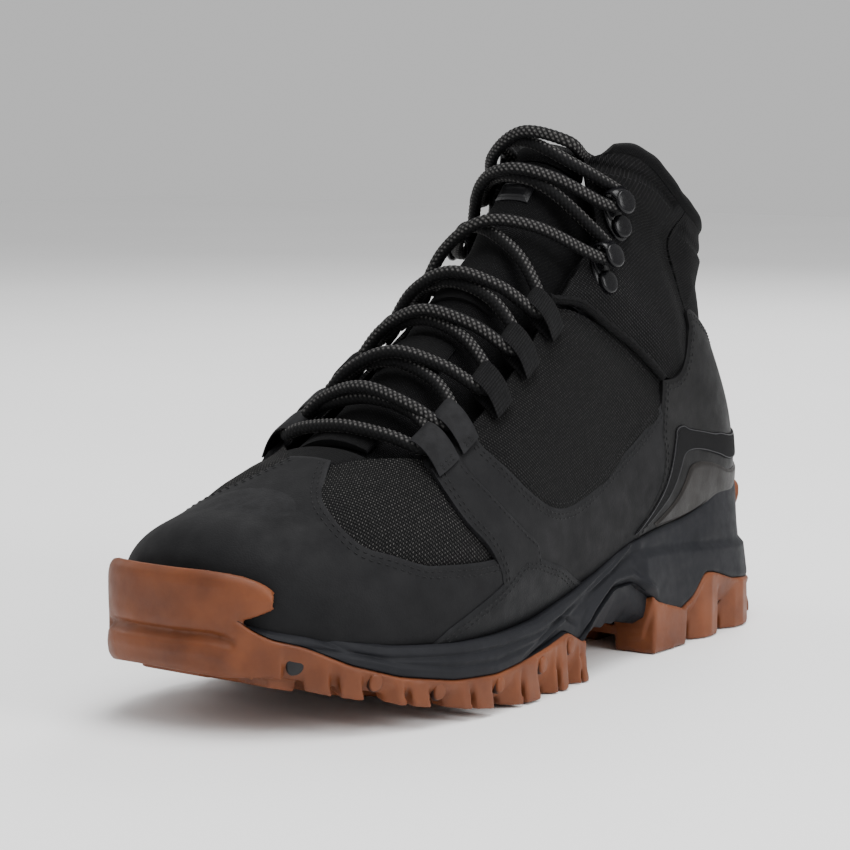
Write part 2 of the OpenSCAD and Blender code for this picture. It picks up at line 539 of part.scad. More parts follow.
// ---- collar ------------------------------------------------------------------
COL_LOW = [[8.95, 0.24], [9.3, 0.278], [9.62, 0.34], [9.99, 0.393], [10.3, 0.436], [11.2, 0.478],
  [12.43, 0.503]];
COL_MID = [[11.6, 0.235], [11.8, 0.28], [12.1, 0.35], [12.5, 0.41], [12.8, 0.45], [13.1, 0.485], [13.5, 0.515]];
COL_TOP = [[14.1, 0.215], [15.0, 0.24], [15.45, 0.31], [15.4, 0.39], [15.2, 0.45], [15.05, 0.50], [14.95, 0.55]];
module collar_lateral() {
  color(c_fabric)
  panel(grid([COL_LOW, COL_MID, COL_TOP], 12, 10), FABRIC[0], FABRIC[1]);
}
module collar_medial() {
  color(c_fabric)
  panel(grid([med(COL_TOP), med(COL_MID), med(COL_LOW)], 12, 10), FABRIC[0], FABRIC[1]);
}
module collar_back() {
  color(c_fabric)
  panel(grid([both([[12.5, 0.515], [12.85, 0.57], [13.05, 0.72], [13.1, 1]], 1),
    both([[13.5, 0.527], [13.8, 0.60], [14.1, 0.75], [14.2, 1]], 1),
    both([[14.97, 0.562], [15.0, 0.65], [15.2, 0.82], [15.45, 1]], 1)], 20, 6), FABRIC[0], FABRIC[1]);
}
module ankle_foam() {
  color(c_eva)
  panel(grid([both([[9.3, 0.25], [9.62, 0.33], [10.1, 0.40], [11.2, 0.455], [12.5, 0.49], [12.9, 0.56],
      [13.1, 0.75], [13.15, 1]], 1),
    both([[14.1, 0.27], [15.0, 0.285], [15.4, 0.34], [15.35, 0.42], [15.05, 0.50], [14.95, 0.58], [15.15, 0.78],
      [15.4, 1]], 1)], 28, 6), FOAM[0], FOAM[1]);
}
RIM_UV = both([[14.25, 0.235], [15.05, 0.242], [15.5, 0.31], [15.45, 0.39], [15.25, 0.45], [15.1, 0.50],
  [15.0, 0.55], [15.05, 0.65], [15.25, 0.82], [15.5, 1]], 1);
// Padded roll closing the top of the collar
module collar_rim() {
  sec = [[-7.4, 0.6], [-7.9, 2.4], [-6.6, 4.6], [-4.1, 5.6], [-1.6, 4.6], [-0.3, 2.4], [-0.8, 0.6]];
  nt = 44;
  rows = [for (i = [0:nt]) let (q = along(RIM_UV, i / nt * 18), c = last0(q[0], q[1]), n = nrm(q[0], q[1]))
    let (t = diru(q[0], q[1])) [for (s = sec) scl(c + n * s[0] + t * s[1])]];
  k = 7;
  pts = [for (r = rows) each r];
  wall = [for (i = [0:nt - 1]) for (j = [0:k - 1])
    let (a = i * k + j, b = i * k + (j + 1) % k) each [[a, b + k, b], [a, a + k, b + k]]];
  color(c_fabric)
  polyhedron(pts, concat(wall, [[for (j = [0:k - 1]) j]], [[for (j = [k - 1:-1:0]) nt * k + j]]));
}
PIPE_UV = [[8.95, 0.235], [9.3, 0.274], [9.61, 0.335], [9.96, 0.386], [10.16, 0.418]];
module piping_lateral() {
  color(c_black)
  tube([for (i = [0:11]) let (q = along(PIPE_UV, i / 11 * 4)) P(q[0], q[1], 0.7)], 1.3, 8);
}
module piping_medial() {
  color(c_black)
  tube([for (i = [0:11]) let (q = along(PIPE_UV, i / 11 * 4)) P(q[0], -q[1], 0.7)], 1.3, 8);
}

// ---- lining and tongue ---------------------------------------------------------
module vamp_lining() {
  color(c_fabric)
  panel(grid([[[0.9, 0.70], [3, 0.76], [5.15, 0.78]], [[0.9, 0.3], [3, 0.3], [4.9, 0.4]], [[0.9, 0], [3, 0],
    [4.75, 0]], [[0.9, -0.3], [3, -0.3], [4.9, -0.4]], [[0.9, -0.70], [3, -0.76], [5.15, -0.78]]], 8, 16),
    LINING[0], LINING[1]);
}
module quarter_lining() {
  color(c_fabric)
  panel(grid([both([[5.3, 0.78], [5.9, 0.78], [6.6, 0.78], [7.3, 0.78], [8.0, 0.78], [8.7, 0.78], [9.3, 0.79],
      [9.9, 0.80], [10.4, 0.81], [10.8, 0.83], [11.1, 0.86], [11.35, 0.90], [11.52, 0.95], [11.6, 1]], 1),
    both([[5.3, 0.16], [6.2, 0.215], [7.4, 0.24], [9.0, 0.24], [11.0, 0.255], [13.0, 0.31], [14.3, 0.325],
      [15.0, 0.33], [15.35, 0.36], [15.1, 0.48], [14.95, 0.58], [15.0, 0.70], [15.2, 0.85], [15.4, 1]], 1)],
    42, 8), LINING[0], LINING[1]);
}
module throat_band() {
  color(c_fabric)
  panel(grid([[[5.17, 0.045], [5.45, 0.09]], [[5.17, -0.045], [5.45, -0.09]]], 2, 6), FABRIC[0], FABRIC[1]);
}
TNG_A = [[4.8, 0.27], [5.6, 0.29], [7, 0.29], [9, 0.28], [11, 0.27], [12.4, 0.25], [13.2, 0.21]];
TNG_B = [for (q = TNG_A) [q[0], -q[1]]];
module tongue() {
  color(c_fabric)
  crowned(grid([TNG_A, TNG_B], 18, 10), -12.6, -8.7, 3, 5.4, 3);
}
// Free top end of the tongue
module tongue_top() {
  a = [[13.26, 0.20], [14, 0.17], [14.8, 0.15], [15.3, 0.11]];
  color(c_fabric)
  crowned(grid([a, med(a)], 6, 8), -12.0, -8.7, 2.4, 5.4, 0.5);
}
module tongue_patch() {
  color(c_leather)
  panel(grid([[[10.6, 0.045], [11.5, 0.045]], [[10.6, -0.045], [11.5, -0.045]]], 3, 4), -2.9, -2.2);
}
// Webbing strips stitched across the middle of the tongue
module keeper(u, v) {
  n = 8;
  function vv(j) = v + 0.10 - 0.20 * j / n;
  function o(j) = -2.8 - 150 * pow(vv(j), 2);
  solid_between(
    [for (i = [0, 1]) [for (j = [0:n]) P(u - 0.19 + 0.38 * i, vv(j), o(j) + 1.1)]],
    [for (i = [0, 1]) [for (j = [0:n]) P(u - 0.19 + 0.38 * i, vv(j), o(j))]]);
}
module keeper_low() {
  color(c_black)
  keeper(5.75, -0.02);
}
module keeper_mid() {
  color(c_black)
  keeper(7.1, -0.01);
}
module keeper_high() {
  color(c_black)
  keeper(8.15, 0.02);
}

// ---- lace hardware ---------------------------------------------------------------
// Folded loop: u0..u1 wide, lace centre at (v, o), tail to vt; s = side
module fold_loop(u0, u1, v, o, vt, s) {
  f = 0.0088;
  out = [[vt, o - 0.7], [v + 3 * f, o - 2.5], [v, o - 3.7], [v - 2.7 * f, o - 2.6], [v - 3.8 * f, o],
    [v - 2.7 * f, o + 2.7], [v, o + 3.8], [v + 3 * f, o + 3.2], [vt, o + 1.0]];
  inn = [[v + 2.8 * f, o - 0.9], [v + 2.0 * f, o - 2.0], [v, o - 2.7], [v - 2.0 * f, o - 1.9], [v - 2.8 * f, o],
    [v - 2.0 * f, o + 2.0], [v, o + 2.8], [v + 2.0 * f, o + 2.1], [v + 2.8 * f, o + 0.9]];
  n = 9;
  pts = [for (l = [out, inn]) for (u = [u0, u1]) for (q = l) P(u, s * q[0], q[1])];
  q4 = [for (j = [0:n - 1]) let (k = (j + 1) % n) each [
    [j, k, k + n], [j, k + n, j + n],
    [k + 2 * n, j + 2 * n, j + 3 * n], [k + 2 * n, j + 3 * n, k + 3 * n],
    [k, j, j + 2 * n], [k, j + 2 * n, k + 2 * n],
    [j + n, k + n, k + 3 * n], [j + n, k + 3 * n, j + 3 * n]]];
  polyhedron(pts, s < 0 ? q4 : [for (t = q4) [t[2], t[1], t[0]]]);
}
LEATHER_LOOPS = [[5.86, 6.20], [6.31, 6.58]];
WEB_LOOPS = [7.12, 7.80, 8.50];
module leather_loops(s) {
  for (l = LEATHER_LOOPS) {
    fold_loop(l[0], l[1], 0.19, 1.3, 0.229, s);
  }
}
module web_loops(s) {
  for (u = WEB_LOOPS) {
    fold_loop(u - 0.16, u + 0.16, 0.205, 1.6, 0.262, s);
  }
}
module leather_loops_lateral() {
  color(c_leather)
  leather_loops(1);
}
module leather_loops_medial() {
  color(c_leather)
  leather_loops(-1);
}
module web_loops_lateral() {
  color(c_black)
  web_loops(1);
}
module web_loops_medial() {
  color(c_black)
  web_loops(-1);
}

// Hooks: [u, v, side]
HOOKS = [[12.7, 0.285, 1], [10.45, 0.262, 1], [12.7, 0.285, -1], [10.45, 0.262, -1]];
// Local point: a toward the throat and up, b across, c out of the surface
function hook_at(h, a, b, c) =
  let (v = h[1] * h[2], n = nrm(h[0], v), t = -h[2] * dirv(h[0], v), w = unit(cross(n, t)))
  let (k = h[2] > 0 ? -30 : 30, x = t * cos(k) + w * sin(k), y = w * cos(k) - t * sin(k))
  scl(last0(h[0], v) + n * c + x * a + y * b);
// Bent strip: the first half of l is its outer line, the second half runs back along the inner line
module local_strip(h, l, b0, b1) {
  n = len(l);
  pts = [for (b = [b0, b1]) for (q = l) hook_at(h, q[0], b, q[1])];
  low = [for (j = [0:n / 2 - 2]) each [[j + 1, j, n - 1 - j], [j + 1, n - 1 - j, n - 2 - j]]];
  high = [for (f = low) [f[2] + n, f[1] + n, f[0] + n]];
  wall = [for (j = [0:n - 1]) let (k = (j + 1) % n) each [[j, k, k + n], [j, k + n, j + n]]];
  polyhedron(pts, concat(low, high, wall));
}
module local_disc(h, a, r, c0, c1) {
  n = 16;
  pts = [for (c = [c0, c1]) for (i = [0:n - 1]) hook_at(h, a + r * cos(360 * i / n), r * sin(360 * i / n), c)];
  polyhedron(pts, concat([[for (j = [0:n - 1]) j]], [[for (j = [n - 1:-1:0]) n + j]],
    [for (j = [0:n - 1]) let (k = (j + 1) % n) [j, j + n, k + n, k]]));
}
HOOK_SEC = [
  [-4, 0.8], [0.5, 0.8], [3.6, 1.3], [5.9, 3.2], [6.1, 5.4], [4.4, 7.4], [1.6, 8.2], [-1.4, 8.4], [-1.5, 7.2],
  [1.4, 7.0], [3.6, 6.4], [4.7, 5.0], [4.6, 3.9], [3.0, 2.5], [0.2, 2.0], [-4, 2.0]
];
module hook_bases() {
  color(c_metal)
  for (h = HOOKS) {
    local_disc(h, -4, 6.2, -0.45, 0.6);
  }
}
module hooks(s) {
  for (h = HOOKS) {
    if (h[2] == s) {
      local_strip(h, HOOK_SEC, -4, 4);
    }
  }
}
module hooks_lateral() {
  color(c_metal)
  hooks(1);
}
module hooks_medial() {
  color(c_metal)
  hooks(-1);
}
module hook_rivets() {
  color(c_metal)
  for (h = HOOKS) {
    local_disc(h, -7.2, 2.4, 0.8, 2.6);
  }
}

// ---- lace -------------------------------------------------------------------------
// Levels from the toe up: [u, v, o] of the lace in its loop, then the four hooks
LEVELS = [[6.03, 0.19, 1.3], [6.445, 0.19, 1.3], [7.12, 0.205, 1.6], [7.80, 0.205, 1.6], [8.50, 0.205, 1.6]];
function hook_of(k, s) = HOOKS[(k == 5 ? 1 : 0) + (s > 0 ? 0 : 2)];
function hook_run(h) =
  let (p = [for (b = [-4.6, 4.6]) hook_at(h, 1.9, b, 4.5)])
  p[0][2] < p[1][2] ? p : [p[1], p[0]];
function level_run(k, s) =
  k > 4 ? hook_run(hook_of(k, s)) :
  [for (d = [-0.1, 0.1]) P(LEVELS[k][0] + d, s * LEVELS[k][1], LEVELS[k][2])];
// Where a crossing leaves and reaches a level
function leave_u(k) = k > 4 ? [0, 0, 0, 0, 0, 11.1, 13.0][k] : LEVELS[k][0] + 0.2;
function reach_u(k) = k > 4 ? [0, 0, 0, 0, 0, 9.9, 12.2][k] : LEVELS[k][0] - 0.2;
function crossing(k, s, over) =
  let (a = leave_u(k), b = reach_u(k + 1), h = over ? [3.7, 6.1, 3.7] : [1.2, 1.4, 1.2])
  [P(a * 0.79 + b * 0.21, s * 0.11, h[0]), P((a + b) / 2, 0, h[1]), P(a * 0.21 + b * 0.79, -s * 0.11, h[2])];
function climb(k, s, over) =
  k > 5 ? level_run(6, s) : concat(level_run(k, s), crossing(k, s, over), climb(k + 1, -s, !over));
// Over the top of the tongue and down beside it into the shaft
function tail(s, over) = concat(
  [P(13.4, s * 0.13, 3.4), P(14.1, 0, over ? 7.0 : 2.4), P(14.5, -s * 0.12, over ? 4.2 : 1.8),
    P(14.5, -s * 0.187, -4)],
  [for (q = [[17.5, 53, 170], [16, 57, 160], [14.8, 60.5, 147], [13.7, 62.8, 128], [13, 64, 108]])
    scl([1 - s * q[0], q[1], q[2]])]);
function rev(l) = [for (i = [len(l) - 1:-1:0]) l[i]];
LACE = concat(
  rev(concat(climb(0, -1, true), tail(-1, true))),
  [P(5.80, -0.11, 1.1), P(5.74, 0, 1.3), P(5.80, 0.11, 1.1)],
  concat(climb(0, 1, false), tail(1, false)));
module lace() {
  color(c_black)
  tube(LACE, lace_d / 2, 8);
}
module aglets() {
  color(c_black)
  for (s = [-1, 1]) {
    translate(scl([1 + s * 13, 64, 107.6]) + [0, 0, -16])
      cylinder(h = 16, r = lace_d / 2 - 0.1, $fn = 16);
  }
}

outsole_forefoot();
outsole_heel();
toe_bumper();
heel_clip();
toe_studs();
midsole();
shank();
insole_board();
footbed_foam();
footbed_cover();
vamp();
toe_puff();
mesh_lateral();
mesh_medial();
strap_lateral();
strap_medial();
foxing_lateral();
foxing_medial();
wing_lateral();
wing_medial();
quarter_lateral();
quarter_medial();
counter();
heel_stiffener();
heel_trim();
heel_patch();
collar_lateral();
collar_medial();
collar_back();
ankle_foam();
collar_rim();
piping_lateral();
piping_medial();
vamp_lining();
quarter_lining();
throat_band();
tongue();
tongue_top();
tongue_patch();
keeper_low();
keeper_mid();
keeper_high();
leather_loops_lateral();
leather_loops_medial();
web_loops_lateral();
web_loops_medial();
hook_bases();
hooks_lateral();
hooks_medial();
hook_rivets();
lace();
aglets();
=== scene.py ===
"""Left hiking boot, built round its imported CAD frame.

Lengths in the tables are millimetres in the boot's own drawing; place() turns them into the frame's metres.
"""

import math

import bpy
import numpy as np
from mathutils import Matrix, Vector
from mathutils.bvhtree import BVHTree
from mathutils.kdtree import KDTree


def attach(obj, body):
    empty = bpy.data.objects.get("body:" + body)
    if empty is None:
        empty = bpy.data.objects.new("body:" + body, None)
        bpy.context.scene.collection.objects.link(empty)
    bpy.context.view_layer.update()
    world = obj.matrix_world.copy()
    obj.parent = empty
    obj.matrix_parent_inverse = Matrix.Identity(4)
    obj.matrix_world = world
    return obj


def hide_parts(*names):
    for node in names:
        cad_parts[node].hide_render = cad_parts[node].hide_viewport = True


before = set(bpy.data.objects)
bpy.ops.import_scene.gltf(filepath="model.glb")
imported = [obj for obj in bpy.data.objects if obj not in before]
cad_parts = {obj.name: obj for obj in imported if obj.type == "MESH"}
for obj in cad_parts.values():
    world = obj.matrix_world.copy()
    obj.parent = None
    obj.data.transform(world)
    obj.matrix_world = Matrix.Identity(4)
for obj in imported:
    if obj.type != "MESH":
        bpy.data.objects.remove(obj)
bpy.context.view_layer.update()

# The drawing's middle, which the frame has at its origin
MIDDLE_OF_DRAWING = np.array([2.5, 4.5, 0.0])
MM = 0.001
FULL_TURN = 2 * math.pi
SIDES = ((1, "lateral"), (-1, "medial"))


def place(points):
    """Points of the drawing, in mm, as points of the frame, in metres."""
    return (np.asarray(points, float) - MIDDLE_OF_DRAWING) * MM


# ---------------------------------------------------------------- camera
CAMERA_PLACE = [578.3, -753.7, 198]
CAMERA_TARGET = [-10.16, -7.79, 82.8]
CAMERA_LENS = 118.2
SENSOR_WIDTH = 36


def facing(position, target):
    """Turn of a camera or lamp at position that looks at target."""
    return (Vector(target) - Vector(position)).to_track_quat("-Z", "Y").to_euler()


def camera():
    cam = bpy.data.objects.new("camera", bpy.data.cameras.new("camera"))
    bpy.context.collection.objects.link(cam)
    cam.location = place(CAMERA_PLACE)
    cam.rotation_euler = facing(place(CAMERA_PLACE), place(CAMERA_TARGET))
    cam.data.lens = CAMERA_LENS
    cam.data.sensor_width = SENSOR_WIDTH
    cam.data.clip_start = 0.05
    cam.data.clip_end = 50
    return cam


bpy.context.scene.camera = camera()


# ---------------------------------------------------------------- curves
def along(rows, t):
    """Smooth curve through the rows of a table, t from 0 to the last row's number."""
    rows = np.asarray(rows, float)
    t = np.asarray(t, float)
    i = np.clip(np.floor(t).astype(int), 0, len(rows) - 2)
    f = (t - i)[..., None]
    ext = np.vstack([2 * rows[0] - rows[1], rows, 2 * rows[-1] - rows[-2]])
    a, b, c, d = ext[i], ext[i + 1], ext[i + 2], ext[i + 3]
    return 0.5 * (2 * b + (c - a) * f + (2 * a - 5 * b + 4 * c - d) * f**2 + (3 * b - a - 3 * c + d) * f**3)


def running_length(points):
    return np.concatenate([[0], np.cumsum(np.linalg.norm(np.diff(points, axis=0), axis=1))])


def unit(v):
    return v / np.maximum(np.linalg.norm(v, axis=-1, keepdims=True), 1e-9)


def smooth_step(x):
    x = np.clip(x, 0, 1)
    return x * x * (3 - 2 * x)


def bell(x, width):
    return np.exp(-((x / width) ** 2))


def resample(points, step):
    """Evenly spaced points along a line, and the running length."""
    points = np.asarray(points, float)
    run = running_length(points)
    n = max(2, int(round(run[-1] / step)) + 1)
    s = np.linspace(0, run[-1], n)
    return np.stack([np.interp(s, run, points[:, k]) for k in range(points.shape[1])], 1), s


def smooth_line(points, per_span):
    """The smooth curve through a few points, as many points."""
    points = np.asarray(points, float)
    return along(points, np.linspace(0, len(points) - 1, (len(points) - 1) * per_span + 1))


# ---------------------------------------------------------------- shape of the upper
# One row per section: top line y z, bottom line y z, half width, centre x, height of the widest
# point, roundness below and above it. u runs along the rows; v runs round, 0 at the top line,
# 0.5 on the outer side, 1 at the bottom or back, and below 0 on the inner side.
LAST = [
    [-135, 42, -135, 38, 3, -11, 0.50, 2.2, 2.2],
    [-133, 49, -134, 31, 13, -11, 0.45, 2.4, 2.2],
    [-130, 56, -131, 27, 23, -10, 0.42, 2.6, 2.3],
    [-122, 63, -123, 24, 33, -7, 0.38, 3.0, 2.3],
    [-106, 70, -108, 20, 41, -3, 0.34, 3.6, 2.25],
    [-84, 79, -85, 17, 47, 1, 0.32, 4.2, 2.15],
    [-60, 92, -58, 16, 48.5, 3, 0.32, 4.4, 2.1],
    [-34, 111, -25, 18, 45.5, 4, 0.32, 4.4, 2.1],
    [-11, 129, 15, 22, 41, 4, 0.34, 4.2, 2.2],
    [8, 144, 60, 27, 37, 3, 0.36, 3.8, 2.3],
    [20, 156, 103, 30, 35.5, 1.5, 0.36, 3.4, 2.4],
    [27, 163, 133, 36, 34.5, 1, 0.38, 3.0, 2.4],
    [31, 168, 138.5, 62, 33, 1, 0.42, 2.6, 2.4],
    [34, 173, 129, 92, 29.5, 1, 0.46, 2.4, 2.4],
    [37, 177, 118, 117, 28.5, 1, 0.50, 2.3, 2.4],
    [41, 180, 120.5, 136, 32, 1, 0.50, 2.3, 2.4],
    [47, 184, 121, 150, 33, 1, 0.50, 2.3, 2.4],
]
U_END = len(LAST) - 1
NEAR_U, NEAR_V = 0.05, 0.006


def loft(u, v):
    """Point of the upper's surface, in mm of the drawing."""
    s = along(LAST, np.clip(u, 0, U_END))
    c, n = np.cos(np.pi * np.asarray(v)), np.sin(np.pi * np.asarray(v))
    power = np.where(c >= 0, s[..., 8], s[..., 7])
    bulge = np.abs(c) ** (2 / power)
    h = np.where(c >= 0, s[..., 6] + (1 - s[..., 6]) * bulge, s[..., 6] * (1 - bulge))
    side = np.sign(n) * np.abs(n) ** (2 / power)
    x = s[..., 5] + s[..., 4] * side
    return np.stack([x, s[..., 2] + (s[..., 0] - s[..., 2]) * h, s[..., 3] + (s[..., 1] - s[..., 3]) * h], -1)


def round_way(u, v):
    return unit(loft(u, np.asarray(v) + NEAR_V) - loft(u, np.asarray(v) - NEAR_V))


def toe_to_collar(u, v):
    u = np.asarray(u, float)
    return unit(loft(np.minimum(u + NEAR_U, U_END), v) - loft(np.maximum(u - NEAR_U, 0), v))


def normal(u, v):
    return unit(np.cross(toe_to_collar(u, v), -round_way(u, v)))


def off_surface(u, v, o):
    """Point o mm out of the upper's surface, in mm of the drawing."""
    return loft(u, v) + np.asarray(o)[..., None] * normal(u, v)


def mirror(curve):
    return [[q[0], -q[1]] for q in curve]


def both(curve):
    """A line from the outer side carried on, past the back or the bottom, to the inner side."""
    return list(curve) + [[q[0], 2 - q[1]] for q in reversed(curve[:-1])]


def grid(curves, nt, ns):
    """(nt + 1, ns + 1) points (u, v) between the curves."""
    k = len(curves) - 1
    t = np.linspace(0, 1, nt + 1)
    lines = [along(c, t * (len(c) - 1)) for c in curves]
    s = np.linspace(0, 1, ns + 1) * k
    a = np.minimum(np.floor(s).astype(int), k - 1)
    f = s - a
    return np.stack([lines[i] * (1 - g) + lines[i + 1] * g for i, g in zip(a, f)], 1)


def grid_over(curve, nt, ns):
    """A grid from a line of the outer side over the top to the same line of the inner side."""
    return grid([curve, mirror(curve)], nt, ns)


# Lengths over the surface, for weaves: along u at each v, and round v at each u
U_CELLS, V_CELLS = 320, 240
_P = loft(np.linspace(0, U_END, U_CELLS + 1)[:, None], np.linspace(-1, 1, V_CELLS + 1)[None, :])
_ALONG = np.pad(np.cumsum(np.linalg.norm(np.diff(_P, axis=0), axis=2), 0), ((1, 0), (0, 0)))
_ROUND = np.pad(np.cumsum(np.linalg.norm(np.diff(_P, axis=1), axis=2), 1), ((0, 0), (1, 0)))
_ROUND = _ROUND - _ROUND[:, V_CELLS // 2][:, None]
JUST_UNDER = 0.001


def table_at(table, u, v):
    x = np.clip(np.asarray(u) / U_END * U_CELLS, 0, U_CELLS - JUST_UNDER)
    y = np.clip((np.asarray(v) + 1) / 2 * V_CELLS, 0, V_CELLS - JUST_UNDER)
    i, j = x.astype(int), y.astype(int)
    f, g = x - i, y - j
    low = table[i, j] * (1 - g) + table[i, j + 1] * g
    return low * (1 - f) + (table[i + 1, j] * (1 - g) + table[i + 1, j + 1] * g) * f


def cloth_place(u, v):
    """Place on the cloth, in mm, for woven patterns."""
    v = np.asarray(v, float)
    turned = np.where(v > 1, v - 2, v)
    lap = table_at(_ROUND, u, 0 * v + 1) - table_at(_ROUND, u, 0 * v - 1)
    return np.stack([table_at(_ALONG, u, turned), table_at(_ROUND, u, turned) + lap * (v > 1), 0 * v], -1)


# ---------------------------------------------------------------- making objects
def new_object(name, mesh):
    obj = bpy.data.objects.new(name, mesh)
    bpy.context.collection.objects.link(obj)
    return obj


def register(obj, body, replaces):
    """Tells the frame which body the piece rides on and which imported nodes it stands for."""
    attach(obj, body)
    if replaces:
        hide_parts(*replaces)
    return obj


def build(name, verts, faces, material, slot, body="boot", replaces=(), places=None, edge=None, sharp=50):
    """A mesh piece that rides on a body. verts are in metres."""
    mesh = bpy.data.meshes.new(name)
    mesh.from_pydata([tuple(map(float, p)) for p in verts], [], [tuple(map(int, f)) for f in faces])
    mesh.validate()
    if places is not None:
        layer = mesh.attributes.new("cloth", "FLOAT_VECTOR", "POINT")
        layer.data.foreach_set("vector", np.asarray(places, np.float32).ravel())
    if edge is not None:
        layer = mesh.attributes.new("edge", "FLOAT", "POINT")
        layer.data.foreach_set("value", np.asarray(edge, np.float32))
    for p in mesh.polygons:
        p.use_smooth = True
    if sharp:
        mesh.set_sharp_from_angle(angle=math.radians(sharp))
    mesh.materials.append(material)
    return register(new_object(name, mesh), body, replaces)


def tree_of(points):
    tree = KDTree(len(points))
    for i, p in enumerate(points):
        tree.insert(p, i)
    tree.balance()
    return tree


def nearest(points, others):
    """Distance from each point to the nearest of the others."""
    tree = tree_of(others)
    return np.array([tree.find(p)[2] for p in points])


def merge(uv, faces):
    """Joins points that share a place."""
    _, first, back = np.unique(np.round(uv, 5), axis=0, return_index=True, return_inverse=True)
    back = back.ravel()
    out = []
    for f in faces:
        g = [int(back[i]) for i in f]
        g = [a for k, a in enumerate(g) if a != g[k - 1]]
        if len(g) > 2:
            out.append(g)
    return uv[first], out


def grid_faces(n, m, start=0):
    corners = [start + i * m + j for i in range(n - 1) for j in range(m - 1)]
    return [[a, a + 1, a + m + 1, a + m] for a in corners]


EDGE_STEP = 0.8
GROOVE_STEP = 0.5
FLAT_EDGE = 1.5


def sheet_solid(
    name, grids, outer, thick, material, slot, replaces=(), body="boot", drop=0.35, run=1.4,
    bulge=0.0, reach=14.0, grooves=(), extra=None,
):
    """Closed panel that follows the upper. Its edge is rounded down by drop over run mm, its middle
    stands up by bulge from reach mm inside the edge, and each groove (line, depth, width) sinks it."""
    uv, faces = [], []
    for g in grids:
        faces += grid_faces(g.shape[0], g.shape[1], sum(len(a) for a in uv))
        uv.append(g.reshape(-1, 2))
    uv, faces = merge(np.concatenate(uv), faces)
    u, v = uv[:, 0], uv[:, 1]
    base = off_surface(u, v, np.full(len(u), outer))
    count = {}
    for f in faces:
        for a, b in zip(f, f[1:] + f[:1]):
            count[(a, b)] = count.get((a, b), 0) + 1
    rim = [e for e in count if (e[1], e[0]) not in count]
    rim_points = []
    for a, b in rim:
        n = max(1, int(np.linalg.norm(base[a] - base[b]) / EDGE_STEP))
        rim_points += [base[a] + (base[b] - base[a]) * k / n for k in range(n)]
    edge = nearest(base, rim_points)
    rise = -drop * (1 - smooth_step(edge / run)) + bulge * smooth_step((edge - FLAT_EDGE) / reach)
    for line, depth, width in grooves:
        fine = smooth_line(line, 20)
        path, _ = resample(off_surface(*fine.T, np.full(len(fine), outer)), GROOVE_STEP)
        rise = rise - depth * bell(nearest(base, path), width)
    if extra is not None:
        rise = rise + extra(u, v, base, edge)
    n = normal(u, v)
    top = base + rise[:, None] * n
    low = base - thick * n
    k = len(u)
    p, q, r = (loft(u[i], v[i]) for i in faces[0][:3])
    flip = np.dot(np.cross(q - p, r - q), n[faces[0][0]]) < 0
    solid = []
    for f in faces:
        solid.append(f[::-1] if flip else f)
        solid.append([a + k for a in (f if flip else f[::-1])])
    for a, b in rim:
        solid.append([a, b, b + k, a + k] if flip else [b, a, a + k, b + k])
    cloth = cloth_place(u, v)
    return build(
        name, place(np.concatenate([top, low])), solid, material, slot, body, replaces,
        np.concatenate([cloth, cloth]), np.concatenate([edge, 0 * edge]),
    )


def tube_faces(n, k):
    """Faces of a tube of n rings with k points each, with its two ends."""
    faces = []
    for i in range(n - 1):
        for j in range(k):
            a, b = i * k + j, i * k + (j + 1) % k
            faces.append([a, b, b + k, a + k])
    faces.append(list(range(k))[::-1])
    faces.append([(n - 1) * k + j for j in range(k)])
    return faces


def round_angles(sides):
    return np.arange(sides) / sides * FULL_TURN


ANY_DIRECTION = [0.31, 0.17, 0.93]


def turning_frames(path):
    """Tangent and two steady cross directions along a path."""
    t = unit(np.gradient(path, axis=0))
    x = np.cross(t[0], ANY_DIRECTION)
    xs = []
    for d in t:
        x = unit(x - d * np.dot(x, d))
        xs.append(x)
    xs = np.array(xs)
    return t, xs, np.cross(t, xs)


THREAD_LIFT, THREAD_BOW, THREAD_FLAT = 0.06, 0.30, 0.8
FIRST_STITCH = 0.4


def stitches(name, rows, pitch, length, radius):
    """Rows of thread, each a list of (points, normals) in mm; every stitch is a short bowed capsule."""
    verts, faces = [], []
    ring, cuts = 6, 5
    share = np.linspace(-1, 1, cuts)
    shape = np.sqrt(np.maximum(0, 1 - share**4)) * 0.85 + 0.15
    for points, normals in rows:
        run = running_length(points)
        for start in np.arange(FIRST_STITCH, run[-1] - length, pitch):
            s = start + np.linspace(0, length, cuts)
            c = np.stack([np.interp(s, run, points[:, k]) for k in range(3)], 1)
            n = unit(np.stack([np.interp(s, run, normals[:, k]) for k in range(3)], 1))
            w = unit(np.cross(unit(c[-1] - c[0]), n))
            c = c + n * (THREAD_LIFT - THREAD_BOW * share[:, None] ** 2)
            base = len(verts)
            for i in range(cuts):
                for a in round_angles(ring):
                    out = math.cos(a) * w[i] + THREAD_FLAT * math.sin(a) * n[i]
                    verts.append(c[i] + radius * shape[i] * out)
            faces += [[base + q for q in f] for f in tube_faces(cuts, ring)]
    return build(name, place(np.array(verts)), faces, THREAD, "webbing", sharp=0)


def row_beside(line, shift, o, side=1, step=0.4):
    """Points and normals of a row that runs shift mm beside a seam line (u, v) on the upper."""
    fine = smooth_line(line, 24)
    u, v = fine[:, 0], fine[:, 1] * side
    p = off_surface(u, v, np.full(len(u), float(o)))
    n = normal(u, v)
    t = unit(np.gradient(p, axis=0))
    p = p + np.cross(t, n) * shift * side
    row, _ = resample(np.concatenate([p, n], 1), step)
    return row[:, :3], unit(row[:, 3:])


def joined(parts):
    """One list of points, in metres, and faces from several (points, faces)."""
    verts, faces = [], []
    for points, part in parts:
        faces += [[a + len(verts) for a in f] for f in part]
        verts += list(points)
    return place(verts), faces


